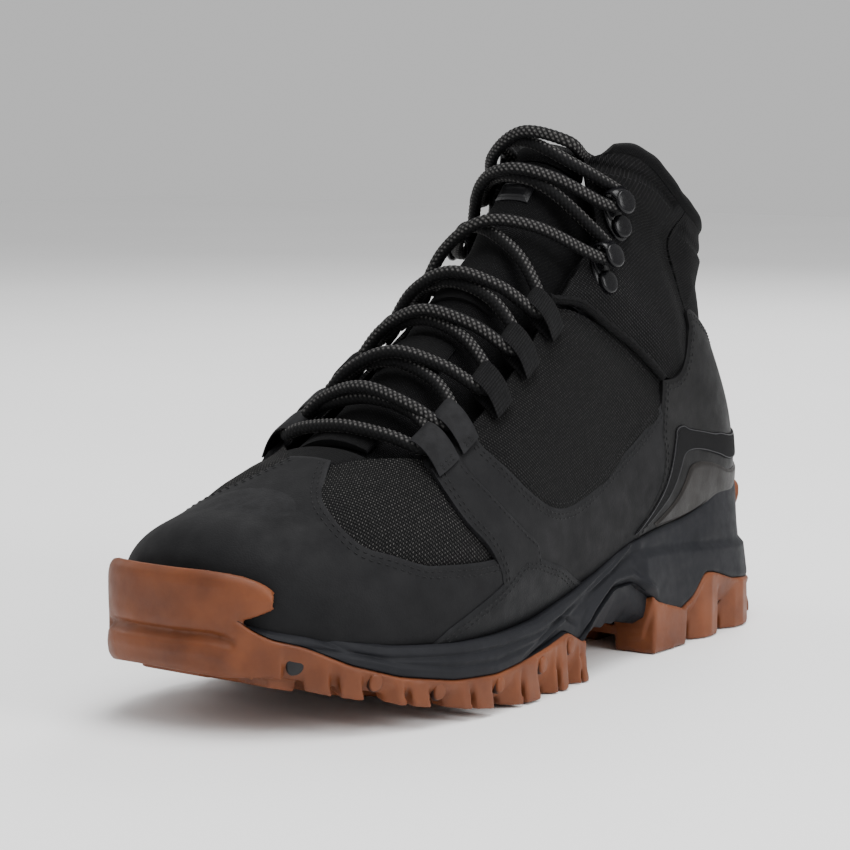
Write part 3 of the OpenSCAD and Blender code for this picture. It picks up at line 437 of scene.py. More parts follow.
def remeshed(name, parts, voxel, rounds, replaces):
    """One piece of moulded rubber from several closed solids: joined at a fine grain and smoothed."""
    verts, faces = joined(parts)
    mesh = bpy.data.meshes.new(name)
    mesh.from_pydata([tuple(map(float, q)) for q in verts], [], [tuple(map(int, f)) for f in faces])
    obj = new_object(name, mesh)
    grain = obj.modifiers.new("voxels", "REMESH")
    grain.mode = "VOXEL"
    grain.voxel_size = voxel * MM
    grain.use_smooth_shade = True
    soft = obj.modifiers.new("soften", "SMOOTH")
    soft.factor = 0.5
    soft.iterations = rounds
    done = bpy.data.meshes.new_from_object(obj.evaluated_get(bpy.context.evaluated_depsgraph_get()))
    obj.modifiers.clear()
    obj.data = done
    done.materials.clear()
    done.materials.append(GUM)
    for p in done.polygons:
        p.use_smooth = True
    return register(obj, "boot", replaces)


# ---------------------------------------------------------------- materials
class Finish:
    """A Principled material and a short way to wire its nodes."""

    def __init__(self, name, rough, specular, coat=0.0, subsurface=0.0):
        self.material = bpy.data.materials.new(name)
        self.material.use_nodes = True
        self.tree = self.material.node_tree
        self.shader = self.tree.nodes["Principled BSDF"]
        for socket, value in {
            "Roughness": rough, "Specular IOR Level": specular, "Coat Weight": coat, "Coat Roughness": 0.12,
            "Subsurface Weight": subsurface, "Subsurface Radius": (0.9, 0.35, 0.15), "Subsurface Scale": 0.004,
        }.items():
            self.shader.inputs[socket].default_value = value

    def node(self, kind, inputs=(), **settings):
        made = self.tree.nodes.new(kind)
        for key, value in settings.items():
            setattr(made, key, value)
        for key, value in dict(inputs).items():
            if isinstance(value, bpy.types.NodeSocket):
                self.tree.links.new(value, made.inputs[key])
            else:
                made.inputs[key].default_value = value
        return made

    def math(self, operation, a, b=0.0):
        return self.node("ShaderNodeMath", {0: a, 1: b}, operation=operation).outputs[0]

    def object_place(self):
        return self.node("ShaderNodeTexCoord").outputs["Object"]

    def attribute(self, name):
        return self.node("ShaderNodeAttribute", attribute_name=name)

    def noise(self, scale, detail, roughness=0.55):
        inputs = {"Vector": self.object_place(), "Scale": scale, "Detail": detail, "Roughness": roughness}
        return self.node("ShaderNodeTexNoise", inputs).outputs["Fac"]

    def ramp(self, value, low, high, out_low=0.0, out_high=1.0):
        inputs = {"Value": value, "From Min": low, "From Max": high, "To Min": out_low, "To Max": out_high}
        return self.node("ShaderNodeMapRange", inputs).outputs["Result"]

    def mix(self, share, a, b):
        made = self.node("ShaderNodeMix", data_type="RGBA")
        for socket, value in ((made.inputs[0], share), (made.inputs[6], a), (made.inputs[7], b)):
            if isinstance(value, bpy.types.NodeSocket):
                self.tree.links.new(value, socket)
            elif isinstance(value, (tuple, list)):
                socket.default_value = (*value, 1.0)
            else:
                socket.default_value = value
        return made.outputs[2]

    def colour(self, socket):
        self.tree.links.new(socket, self.shader.inputs["Base Color"])

    def rough(self, socket):
        self.tree.links.new(socket, self.shader.inputs["Roughness"])

    def bump(self, height, distance, strength=1.0, under=None):
        """Adds relief; height runs 0 to 1 and distance is in metres."""
        inputs = {"Height": height, "Distance": distance, "Strength": strength}
        made = self.node("ShaderNodeBump", inputs)
        if under is not None:
            self.tree.links.new(under, made.inputs["Normal"])
        self.tree.links.new(made.outputs["Normal"], self.shader.inputs["Normal"])
        return made.outputs["Normal"]

    def cells(self, pitch_x, pitch_y, turn=0.0):
        """Cloth coordinates in threads: x, y, and a random number for each crossing."""
        where = self.attribute("cloth").outputs["Vector"]
        if turn:
            inputs = {"Vector": where, "Angle": turn}
            where = self.node("ShaderNodeVectorRotate", inputs, rotation_type="Z_AXIS").outputs[0]
        apart = self.node("ShaderNodeSeparateXYZ", {0: where})
        x = self.math("DIVIDE", apart.outputs[0], pitch_x)
        y = self.math("DIVIDE", apart.outputs[1], pitch_y)
        cell = self.node("ShaderNodeCombineXYZ", {0: self.math("FLOOR", x), 1: self.math("FLOOR", y)})
        chance = self.node("ShaderNodeTexWhiteNoise", {"Vector": cell.outputs[0]}, noise_dimensions="3D")
        return x, y, chance.outputs["Value"]

    def wave(self, x):
        return self.math("ABSOLUTE", self.math("SINE", self.math("MULTIPLY", x, math.pi)))


def rubber(name, light, dark, rough=0.50, subsurface=0.12):
    f = Finish(name, rough, 0.28, subsurface=subsurface)
    cloud = f.noise(55, 5)
    f.colour(f.mix(f.ramp(cloud, 0.35, 0.65), dark, light))
    f.rough(f.ramp(f.noise(160, 6), 0.3, 0.7, rough - 0.07, rough + 0.12))
    grain = f.bump(f.noise(1900, 3), 0.0001, 0.35)
    f.bump(f.noise(90, 3), 0.0006, 0.25, grain)
    return f.material


def foam(name):
    f = Finish(name, 0.60, 0.17)
    f.colour(f.mix(f.ramp(f.noise(45, 3), 0.3, 0.75), (0.0066, 0.0070, 0.0090), (0.0092, 0.0097, 0.0122)))
    f.rough(f.ramp(f.noise(220, 4), 0.3, 0.7, 0.54, 0.68))
    skin = f.bump(f.noise(2600, 2), 0.00012, 0.45)
    f.bump(f.noise(240, 4), 0.0003, 0.22, skin)
    return f.material


def leather(name, dark, light, rough, grain, specular=0.16):
    """Fine grained leather, a little worn to grey along its cut edges."""
    f = Finish(name, rough, specular)
    cloud = f.ramp(f.noise(38, 6, 0.6), 0.34, 0.7)
    fine = f.ramp(f.noise(900, 4, 0.7), 0.3, 0.75)
    body = f.mix(f.math("MULTIPLY", fine, 0.55), f.mix(cloud, dark, light), light)
    edge = f.ramp(f.attribute("edge").outputs["Fac"], 0.0, 1.1, 0.35, 0.0)
    worn = f.math("MULTIPLY", edge, f.ramp(f.noise(300, 4), 0.35, 0.65))
    f.colour(f.mix(worn, body, tuple(2.4 * c for c in light)))
    f.rough(f.ramp(f.noise(130, 5), 0.3, 0.7, rough - 0.10, rough + 0.08))
    pores = f.node("ShaderNodeTexVoronoi", {"Vector": f.object_place(), "Scale": 1500.0}, feature="F1")
    under = f.bump(pores.outputs["Distance"], 0.00012, grain)
    under = f.bump(f.noise(2400, 3, 0.7), 0.00010, grain, under)
    f.bump(f.noise(75, 4), 0.0006, 0.28, under)
    return f.material


def woven(name, pitch, dark, fleck, share, turn, depth=0.00028):
    """Coarse cloth: threads cross over and under, and some of them are grey. Its colour is painted darker in the
    hollows between the threads and where a thread passes under, as shade.
    """
    f = Finish(name, 0.85, 0.10)
    x, y, chance = f.cells(pitch, pitch, turn)
    tuft = f.math("MULTIPLY", f.wave(x), f.wave(y))
    odd = f.math("MODULO", f.math("ABSOLUTE", f.math("ADD", f.math("FLOOR", x), f.math("FLOOR", y))), 2.0)
    # The grey is painted dimmer off the thread tops and where a thread passes under, as shade.
    lit = f.math("MULTIPLY", f.ramp(chance, 1.0 - share, 1.0, 0.38, 1.0), f.ramp(tuft, 0.35, 0.8))
    lit = f.math("MULTIPLY", lit, f.ramp(odd, 0.0, 1.0, 0.25, 1.0))
    # Painted shade: the cloth is darker in the hollows between the threads.
    ground = f.mix(f.ramp(tuft, 0.0, 0.7), tuple(0.35 * c for c in dark), dark)
    f.colour(f.mix(lit, ground, fleck))
    height = f.math("MULTIPLY", tuft, f.ramp(odd, 0.0, 1.0, 0.55, 1.0))
    under = f.bump(height, depth, 1.0)
    f.bump(f.noise(3000, 2), 0.00008, 0.3, under)
    return f.material


def ribbed(name, pitch, dark, light, rib_along=False):
    """Webbing: close ribs one way with fine thread steps the other way. Its colour follows the rib height, so the
    grooves are painted darker as shade.
    """
    f = Finish(name, 0.8, 0.12)
    x, y, chance = f.cells(pitch, pitch * 0.55)
    rib = f.wave(x if rib_along else y)
    step = f.wave(y if rib_along else x)
    height = f.math("ADD", f.math("MULTIPLY", rib, 0.75), f.math("MULTIPLY", step, 0.25))
    # Painted shade: lighter on the rib tops, darker in the grooves; the random tone of each thread is its own.
    f.colour(f.mix(f.math("MULTIPLY", height, f.ramp(chance, 0, 1, 0.5, 1.0)), dark, light))
    f.bump(height, 0.00030, 1.0)
    return f.material


def braid():
    """Round lace: two families of black strands with grey ones picked out in rows. The hollows between the strands
    are painted darker as shade.
    """
    f = Finish("lace_braid", 0.75, 0.12)
    part = f.node("ShaderNodeSeparateXYZ", {0: f.attribute("cloth").outputs["Vector"]})
    tuft, grey = part.outputs[0], part.outputs[1]
    # Painted shade: darker in the hollows between the tufts, lighter on their tops.
    plain = f.mix(tuft, (0.0022, 0.0022, 0.0024), (0.0085, 0.0085, 0.0090))
    f.colour(f.mix(grey, plain, (0.100, 0.097, 0.094)))
    fine = f.bump(tuft, 0.00016, 0.7)
    f.bump(f.noise(4200, 2), 0.00006, 0.5, fine)
    return f.material


def enamel(name, colour, rough, coat, specular):
    f = Finish(name, rough, specular, coat=coat)
    f.colour(f.mix(f.ramp(f.noise(500, 4), 0.3, 0.7), colour, tuple(1.5 * c for c in colour)))
    f.rough(f.ramp(f.noise(700, 4), 0.3, 0.7, rough - 0.05, rough + 0.08))
    f.bump(f.noise(1200, 3), 0.00004, 0.25)
    return f.material


def plain_inside(name, dark, light, scale=900.0, rough=0.85):
    f = Finish(name, rough, 0.3)
    f.colour(f.mix(f.ramp(f.noise(scale, 4), 0.3, 0.7), dark, light))
    f.bump(f.noise(scale * 1.6, 3), 0.0002, 0.5)
    return f.material


SEAM_SHADE = rubber("gum_shade", (0.030, 0.010, 0.005), (0.020, 0.007, 0.004), 0.6, 0.0)
GUM = rubber("gum_rubber", (0.150, 0.044, 0.014), (0.092, 0.026, 0.009))
BLACK_RUBBER = rubber("black_rubber", (0.010, 0.010, 0.011), (0.006, 0.006, 0.007), 0.5, 0.0)
EVA = foam("midsole_foam")
NUBUCK = leather("nubuck", (0.0042, 0.0042, 0.0048), (0.0082, 0.0082, 0.0090), 0.72, 0.35)
OVERLAY = leather("overlay", (0.0034, 0.0035, 0.0040), (0.0062, 0.0064, 0.0073), 0.62, 0.45, 0.15)
COUNTER_LEATHER = leather("counter_leather", (0.003, 0.003, 0.0033), (0.0056, 0.0055, 0.0058), 0.5, 0.3, 0.12)
HEEL_LEATHER = leather("heel_leather", (0.0055, 0.0048, 0.0045), (0.0140, 0.0120, 0.0108), 0.46, 0.35, 0.16)
PATCH_LEATHER = leather("patch_leather", (0.004, 0.004, 0.005), (0.010, 0.010, 0.011), 0.42, 0.25, 0.3)
FABRIC = woven("coarse_cloth", 0.80, (0.0046, 0.0046, 0.0050), (0.030, 0.0295, 0.029), 0.97, turn=0.62)
WINDOW_FABRIC = woven("window_cloth", 0.86, (0.0046, 0.0046, 0.0050), (0.060, 0.058, 0.056), 0.97, turn=0.62)
FINE_FABRIC = woven("collar_cloth", 0.72, (0.0042, 0.0042, 0.0047), (0.038, 0.0375, 0.038), 0.95, turn=0.62)
TONGUE_CLOTH = woven("tongue_cloth", 0.66, (0.0035, 0.0035, 0.0040), (0.018, 0.018, 0.0185), 0.8, turn=0.3)
KNIT = woven("lining_knit", 0.8, (0.0042, 0.0042, 0.0046), (0.011, 0.011, 0.0115), 0.6, turn=0.785,
             depth=0.0002)
WEBBING = ribbed("webbing", 0.9, (0.0016, 0.0016, 0.0018), (0.0080, 0.0080, 0.0086))
TRIM = ribbed("trim_band", 0.8, (0.0022, 0.0022, 0.0026), (0.0090, 0.0090, 0.0098), rib_along=True)
THREAD = enamel("thread", (0.0032, 0.0032, 0.0036), 0.6, 0.0, 0.2)
# Lighter colour of the raised edge lines on the heel band: a painted highlight.
PAINTED_EDGE_HIGHLIGHT = enamel("painted_edge_highlight", (0.018, 0.018, 0.020), 0.45, 0.0, 0.3)
BRAID = braid()
HOOK = enamel("hook_enamel", (0.0030, 0.0030, 0.0036), 0.24, 0.0, 0.22)
TIP = enamel("lace_tip", (0.005, 0.005, 0.005), 0.25, 0.2, 0.5)
PLATE = plain_inside("shank_plate", (0.62, 0.20, 0.03), (0.80, 0.30, 0.05), 400, 0.45)
BOARD = plain_inside("inner_board", (0.10, 0.08, 0.06), (0.17, 0.14, 0.10))
FOAM_INSIDE = plain_inside("inner_foam", (0.05, 0.05, 0.055), (0.09, 0.09, 0.095), 1400)

for node, material in {
    "shank": PLATE, "insole_board": BOARD, "footbed_foam": FOAM_INSIDE, "toe_puff": BOARD,
    "heel_stiffener": BOARD, "ankle_foam": FOAM_INSIDE,
}.items():
    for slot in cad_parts[node].material_slots:
        slot.material = material


# ---------------------------------------------------------------- lace
# Hooks as (u, v, side), top and low on each side; loop levels as (u, v, height over the surface)
HOOKS = [[u, v, side] for side, _ in SIDES for u, v in ((12.7, 0.285), (10.45, 0.262))]
LEVELS = [[6.03, 0.19, 1.3], [6.445, 0.19, 1.3], [7.12, 0.205, 1.6], [7.80, 0.205, 1.6], [8.50, 0.205, 1.6]]
LOW_HOOK, TOP_HOOK = 5, 6
LACE_D = 4.4
LACE_STEP = 0.41
TIP_X, TIP_Y, TIP_TOP = 13, 64, 107.6
HOOK_TURN = 30
HOOK_BEND = (1.9, 4.5)
HOOK_HALF_RUN = 4.6


def hook_axes(h):
    """Place of a hook and its three directions: towards the throat, along, and out."""
    u, v = h[0], h[1] * h[2]
    n = normal(u, v)
    t = -h[2] * round_way(u, v)
    w = unit(np.cross(n, t))
    turn = math.radians(-HOOK_TURN * h[2])
    x = t * math.cos(turn) + w * math.sin(turn)
    y = w * math.cos(turn) - t * math.sin(turn)
    return loft(u, v), x, y, n


def hook_at(h, a, b, c):
    """Point a towards the throat, b along and c out from a hook's place."""
    p, x, y, n = hook_axes(h)
    return p + n * c + x * a + y * b


def one(u, v, o):
    return off_surface(np.float64(u), np.float64(v), np.float64(o))


def level_run(k, s):
    """The lace where it lies in the loop or hook of level k on side s, from low to high."""
    if k >= LOW_HOOK:
        h = HOOKS[(1 if k == LOW_HOOK else 0) + (0 if s > 0 else 2)]
        ends = [hook_at(h, HOOK_BEND[0], b, HOOK_BEND[1]) for b in (-HOOK_HALF_RUN, HOOK_HALF_RUN)]
        return sorted(ends, key=lambda p: p[2])
    return [one(LEVELS[k][0] + d, s * LEVELS[k][1], LEVELS[k][2]) for d in (-0.1, 0.1)]


LEAVES_HOOK = {LOW_HOOK: 11.1, TOP_HOOK: 13.0}
MEETS_HOOK = {LOW_HOOK: 9.9, TOP_HOOK: 12.2}


def crossing(k, s, over):
    """The lace across the tongue from level k to the next, over or under the other strand."""
    a = LEAVES_HOOK.get(k) or LEVELS[k][0] + 0.2
    b = MEETS_HOOK.get(k + 1) or LEVELS[k + 1][0] - 0.2
    h = [3.7, 6.1, 3.7] if over else [1.2, 1.4, 1.2]
    return [
        one(a * 0.79 + b * 0.21, s * 0.11, h[0]), one((a + b) / 2, 0, h[1]),
        one(a * 0.21 + b * 0.79, -s * 0.11, h[2]),
    ]


def climb(s, over):
    """One end of the lace from the lowest loops to the top hook."""
    points = []
    for k in range(TOP_HOOK):
        points += level_run(k, s) + crossing(k, s, over)
        s, over = -s, not over
    return points + level_run(TOP_HOOK, s)


def tail(s, over):
    """Over the top of the tongue and down beside it into the shaft."""
    top = [
        one(13.4, s * 0.13, 3.4), one(14.1, 0, 7.0 if over else 2.4),
        one(14.5, -s * 0.12, 4.2 if over else 1.8), one(14.5, -s * 0.187, -4),
    ]
    inside = [[17.5, 53, 170], [16, 57, 160], [14.8, 60.5, 147], [13.7, 62.8, 128], [13, 64, 108]]
    return top + [np.array([1 - s * x, y, z]) for x, y, z in inside]


LACE = np.array(
    (climb(-1, True) + tail(-1, True))[::-1]
    + [one(5.80, -0.11, 1.1), one(5.74, 0, 1.3), one(5.80, 0.11, 1.1)]
    + climb(1, False) + tail(1, False)
)


def lace_piece():
    """Round braided cord along LACE, with its strands in relief."""
    path, s = resample(smooth_line(LACE, 24), LACE_STEP)
    for _ in range(6):
        path[1:-1] = 0.25 * path[:-2] + 0.5 * path[1:-1] + 0.25 * path[2:]
    t, x, y = turning_frames(path)
    sides, strands, pitch = 24, 12, 1.9
    angle = np.arange(sides) / sides
    a = s[:, None] / pitch + angle[None, :] * strands / 2
    b = s[:, None] / pitch - angle[None, :] * strands / 2
    tuft = np.abs(np.sin(np.pi * a)) * np.abs(np.sin(np.pi * b))
    radius = LACE_D / 2 - 0.20 + 0.24 * tuft
    turn = FULL_TURN * angle
    ring = np.cos(turn)[None, :, None] * x[:, None] + np.sin(turn)[None, :, None] * y[:, None]
    verts = (path[:, None] + radius[..., None] * ring).reshape(-1, 3)
    strand = (np.floor(a) - np.floor(b)) % 6
    # Grey strands show only on the tops of the tufts; the hollows are left dark as painted shade.
    grey = np.where(strand < 3, np.clip(tuft * 1.9 - 0.75, 0, 1), 0.0)
    cloth = np.stack([tuft, grey, 0 * tuft], -1).reshape(-1, 3)
    piece = build(
        "lace_cord", place(verts), tube_faces(len(path), sides), BRAID, "lace_cord",
        replaces=("lace",), places=cloth, sharp=0,
    )
    return piece, place(path), s[-1]


lace, lace_path, lace_length = lace_piece()


def tip(side):
    """Lace end in its smooth sleeve, pinched where it grips the braid."""
    sleeve = [(-15.9, 1.2), (-15.6, 1.75), (-15, 2.0), (-3, 2.05)]
    sleeve += [(-2.4, 1.85), (-1.8, 2.05), (-0.6, 2.1), (0, 2.3)]
    rows = [
        [1 + side * TIP_X + r * math.cos(q), TIP_Y + r * math.sin(q), TIP_TOP + z]
        for z, r in sleeve for q in round_angles(20)
    ]
    name = f"lace_tip_{'outer' if side > 0 else 'inner'}"
    return build(name, place(rows), tube_faces(len(sleeve), 20), TIP, "lace_tip", replaces=("aglets",))


tips = [tip(1), tip(-1)]


# ---------------------------------------------------------------- upper: leather
# Seams of the outer side as (u, v); the inner side mirrors them.
STRAP_F = [[5.83, 0.235], [5.83, 0.30], [5.94, 0.37], [6.21, 0.44], [6.40, 0.50], [6.55, 0.56]]
STRAP_R = [[6.24, 0.235], [6.27, 0.30], [6.54, 0.39], [6.85, 0.455], [7.12, 0.50], [7.28, 0.56]]
FOX_F = [[6.29, 0.235], [6.26, 0.30], [6.50, 0.385], [6.80, 0.45], [7.0, 0.50], [7.1, 0.56], [7.3, 0.64],
         [7.6, 0.70], [8.6, 0.72]]
FOX_R = [[6.62, 0.235], [6.64, 0.29], [6.99, 0.39], [7.4, 0.46], [7.8, 0.490], [8.3, 0.496], [8.9, 0.492],
         [9.3, 0.487], [10.05, 0.470]]
WING_T = [[5.12, 0.66], [5.17, 0.62], [5.3, 0.575], [5.49, 0.54], [5.87, 0.515], [6.4, 0.503], [6.88, 0.50],
          [7.2, 0.508], [7.52, 0.545], [7.78, 0.62], [7.95, 0.67]]
WING_B = [[5.12, 0.70], [5.5, 0.71], [6.0, 0.725], [6.4, 0.73], [6.8, 0.73], [7.1, 0.73], [7.4, 0.725],
          [7.6, 0.72], [7.85, 0.715], [8.05, 0.71]]
CNT_LOW = [[8.62, 0.70], [9.3, 0.715], [10, 0.73], [10.7, 0.76], [11.2, 0.81], [11.5, 0.90], [11.6, 1]]
CNT_MID = [[9.42, 0.545], [9.8, 0.55], [10.3, 0.56], [10.9, 0.58], [11.6, 0.64], [12.2, 0.80], [12.4, 1]]
CNT_TOP = [[10.32, 0.450], [10.7, 0.459], [11.3, 0.468], [12.0, 0.486], [12.7, 0.525], [13.1, 0.72],
           [13.15, 1]]
CNT_FRONT = [[8.62, 0.70], [9.0, 0.595], [9.42, 0.540], [9.80, 0.492], [10.32, 0.450]]
WINDOW = [[5.12, 0.05], [4.9, 0.072], [4.64, 0.105], [4.45, 0.145], [4.35, 0.185], [4.305, 0.24], [4.35, 0.30],
          [4.47, 0.335], [4.69, 0.362], [5.12, 0.41], [5.49, 0.43], [6.15, 0.462], [6.5, 0.475]]


def vamp_grids():
    """Toe leather: a middle strip that ends at the tongue and a leg under each mesh window."""
    tongue_end, leg_end = 5.12, 6.5
    u = np.concatenate([
        np.linspace(0.02, 1.0, 22), np.linspace(1.04, 4.28, 62), np.linspace(4.29, 4.38, 10),
        np.linspace(4.4, tongue_end, 30), np.linspace(5.15, leg_end, 42),
    ])
    line = smooth_line(WINDOW, 24)
    tip_row = int(np.argmin(line[:, 0]))
    tip_u, tip_v = line[tip_row]
    high, low = line[: tip_row + 1][::-1], line[tip_row:]
    over_window = np.where(u < tip_u, tip_v, np.interp(u, high[:, 0], high[:, 1]))
    under_window = np.where(u < tip_u, tip_v, np.interp(u, low[:, 0], low[:, 1]))
    bottom_v = [0.66, 0.69, 0.71, 0.71, 0.68, 0.62, 0.57, 0.56]
    bottom = np.interp(u, [0, 2, 3.5, 5, 5.3, 5.75, 6.18, 6.5], bottom_v)
    s = np.linspace(0, 1, 30)[None, :]
    leg_v = under_window[:, None] * (1 - s) + bottom[:, None] * s
    legs = np.stack([np.repeat(u[:, None], 30, 1), leg_v], -1)
    top = u <= tongue_end + JUST_UNDER
    m = np.linspace(-1, 1, 49)[None, :]
    middle = np.stack([np.repeat(u[top, None], 49, 1), over_window[top, None] * m], -1)
    return [middle, legs, (legs * [1, -1])[:, ::-1]]


def toe_crown(u, v, base, edge):
    """The toe box is a little fuller than its section lines, and the flex line lies across behind it."""
    return 0.4 * bell(u - 2.4, 1.0) * bell(v, 0.5) - 1.9 * bell(u - 3.9, 0.85) * bell(v, 0.30)


sheet_solid("vamp_leather", vamp_grids(), 0.9, 1.5, NUBUCK, "nubuck", ("vamp",), drop=0.5, run=1.6,
            extra=toe_crown)


def panel_pair(name, curves, nt, ns, outer, thick, material, slot, **more):
    """The same panel of the upper on both sides; gives back its two pieces."""
    pieces = []
    for side, word in SIDES:
        lines = curves if side > 0 else [mirror(c) for c in curves]
        node = (f"{name}_{word}",)
        panel = [grid(lines, nt, ns)]
        pieces.append(sheet_solid(f"{name}_panel_{word}", panel, outer, thick, material, slot, node, **more))
    return pieces


panel_pair("strap", [STRAP_F, STRAP_R], 60, 16, 1.6, 2.2, NUBUCK, "nubuck", drop=0.45)
panel_pair("foxing", [FOX_F, FOX_R], 110, 30, 0.95, 1.5, NUBUCK, "nubuck", drop=0.45)
panel_pair("wing", [WING_B, WING_T], 70, 34, 1.9, 2.5, OVERLAY, "overlay", drop=0.6)


def counter_dish(u, v, base, edge):
    """The heel leather is drawn in a little above the heel band."""
    return -0.5 * bell(u - 11.9, 0.7) * bell(np.abs(v) - 0.60, 0.12)


def counter_grid():
    """Heel leather round the back; its first rows turn to follow the slanting front seam."""
    g = grid([both(CNT_LOW), both(CNT_MID), both(CNT_TOP)], 190, 64)
    front = smooth_line(CNT_FRONT, 30)
    rows = np.linspace(0, 1, g.shape[1])
    run = np.linspace(0, 1, len(front))
    outer = np.stack([np.interp(rows, run, front[:, k]) for k in range(2)], 1)
    inner = np.stack([outer[:, 0], 2 - outer[:, 1]], 1)
    blended = 12
    for i in range(blended):
        share = (1 - i / blended) ** 1.5
        g[i] = g[i] * (1 - share) + outer * share
        g[-1 - i] = g[-1 - i] * (1 - share) + inner * share
    return g


sheet_solid("counter_leather", [counter_grid()], 1.15, 1.7, COUNTER_LEATHER, "nubuck", ("counter",),
            drop=0.5, extra=counter_dish)

TRIM_OUT = [[8.84, 0.618], [9.28, 0.572], [9.80, 0.514], [10.12, 0.499], [10.45, 0.502], [10.77, 0.515],
            [11.04, 0.540], [11.31, 0.580], [11.79, 0.70], [12.08, 0.80], [12.30, 1]]
TRIM_IN = [[9.06, 0.618], [9.46, 0.580], [9.90, 0.533], [10.10, 0.520], [10.35, 0.524], [10.61, 0.540],
           [10.86, 0.568], [11.05, 0.603], [11.48, 0.70], [11.77, 0.80], [12.0, 1]]
PATCH_TOP = [[9.20, 0.624], [9.60, 0.592], [9.97, 0.554], [10.14, 0.542], [10.38, 0.547], [10.60, 0.563],
             [10.81, 0.590], [10.98, 0.625], [11.38, 0.71], [11.66, 0.80], [11.88, 1]]
PATCH_LOW = [[9.24, 0.640], [9.6, 0.650], [10.1, 0.658], [10.5, 0.672], [10.9, 0.70], [11.3, 0.75],
             [11.72, 0.86], [11.9, 1]]
sheet_solid("heel_trim_band", [grid([both(TRIM_IN), both(TRIM_OUT)], 220, 8)], 1.8, 0.8, TRIM, "webbing",
            ("heel_trim",), drop=0.35, run=0.8)
sheet_solid("heel_patch_leather", [grid([both(PATCH_LOW), both(PATCH_TOP)], 200, 26)], 1.85, 0.8, HEEL_LEATHER,
            "smooth_leather", ("heel_patch",), drop=0.5, run=1.4)

# ---------------------------------------------------------------- upper: cloth
MESH_TOP = [[4.24, 0.13], [4.6, 0.065], [5.12, 0.055], [5.5, 0.13], [5.95, 0.215]]
MESH_MID = [[4.14, 0.21], [4.6, 0.22], [5.1, 0.23], [5.6, 0.24], [6.05, 0.26]]
MESH_LOW = [[4.14, 0.33], [4.5, 0.40], [5.1, 0.45], [5.6, 0.47], [6.35, 0.50]]
QTR_LOW = [[6.45, 0.34], [7.0, 0.46], [7.7, 0.53], [8.5, 0.55], [9.4, 0.56], [10.4, 0.535]]
QTR_TOP = [[6.60, 0.235], [7.36, 0.24], [8.1, 0.24], [8.80, 0.24], [9.45, 0.318], [9.99, 0.396],
           [10.3, 0.440], [10.7, 0.470]]
COL_LOW = [[8.95, 0.24], [9.3, 0.278], [9.62, 0.34], [9.99, 0.393], [10.3, 0.438], [11.2, 0.480],
           [12.43, 0.503]]
COL_MID = [[11.6, 0.235], [11.8, 0.28], [12.1, 0.35], [12.5, 0.41], [12.8, 0.45], [13.1, 0.485], [13.5, 0.515]]
COL_TOP = [[14.2, 0.202], [15.1, 0.24], [15.58, 0.31], [15.53, 0.39], [15.33, 0.45], [15.18, 0.50],
           [15.08, 0.555]]
COLLAR_SEAM = [[14.08, 0.225], [14.35, 0.27], [14.75, 0.34], [14.95, 0.40], [14.98, 0.45], [14.9, 0.51]]


def soft_folds(u, v, base, edge):
    """Slight unevenness of cloth that is stretched over padding."""
    y, z = base[:, 1], base[:, 2]
    return 0.35 * smooth_step(edge / 8) * np.sin(y / 9.0 + z / 13.0) * np.sin(z / 11.0 + 1.3)


CLOTH_O, CLOTH_T = -0.85, 1.4
panel_pair("mesh", [MESH_LOW, MESH_MID, MESH_TOP], 70, 56, CLOTH_O, CLOTH_T, WINDOW_FABRIC, "woven_fabric",
           drop=0.0, bulge=1.3, reach=12.0, extra=soft_folds)
panel_pair("quarter", [QTR_LOW, QTR_TOP], 150, 74, CLOTH_O, CLOTH_T, FABRIC, "woven_fabric",
           drop=0.0, bulge=1.5, reach=14.0, extra=soft_folds)
for pad in panel_pair("collar", [COL_LOW, COL_MID, COL_TOP], 110, 110, CLOTH_O, CLOTH_T, FINE_FABRIC,
                      "woven_fabric", drop=0.0, bulge=2.6, reach=13.0, extra=soft_folds, grooves=[(COLLAR_SEAM, 1.3, 1.3)]):
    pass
BACK = [both([[12.5, 0.508], [12.85, 0.56], [13.05, 0.72], [13.1, 1]]),
        both([[13.5, 0.523], [13.8, 0.60], [14.1, 0.75], [14.2, 1]]),
        both([[15.08, 0.557], [15.14, 0.65], [15.34, 0.82], [15.58, 1]])]
BACK_SEAM = both([[14.55, 0.56], [14.6, 0.65], [14.75, 0.82], [14.95, 1]])


def back_padding(u, v, base, edge):
    """Cushion above the heel with a shallow dip where the tendon rests."""
    return 1.2 * bell(u - 14.3, 0.55) * bell(np.abs(v) - 0.75, 0.16) + 0.5 * bell(u - 13.5, 0.3)


sheet_solid("collar_back_cloth", [grid(BACK, 150, 64)], CLOTH_O, CLOTH_T, FINE_FABRIC, "woven_fabric",
                ("collar_back",), drop=0.0, bulge=2.2, reach=10.0, extra=back_padding,
                grooves=[(BACK_SEAM, 1.2, 1.3)])

RIM_UV = both([[14.25, 0.235], [15.05, 0.247], [15.5, 0.31], [15.45, 0.39], [15.25, 0.45], [15.1, 0.50],
               [15.0, 0.55], [15.05, 0.65], [15.25, 0.82], [15.5, 1]])


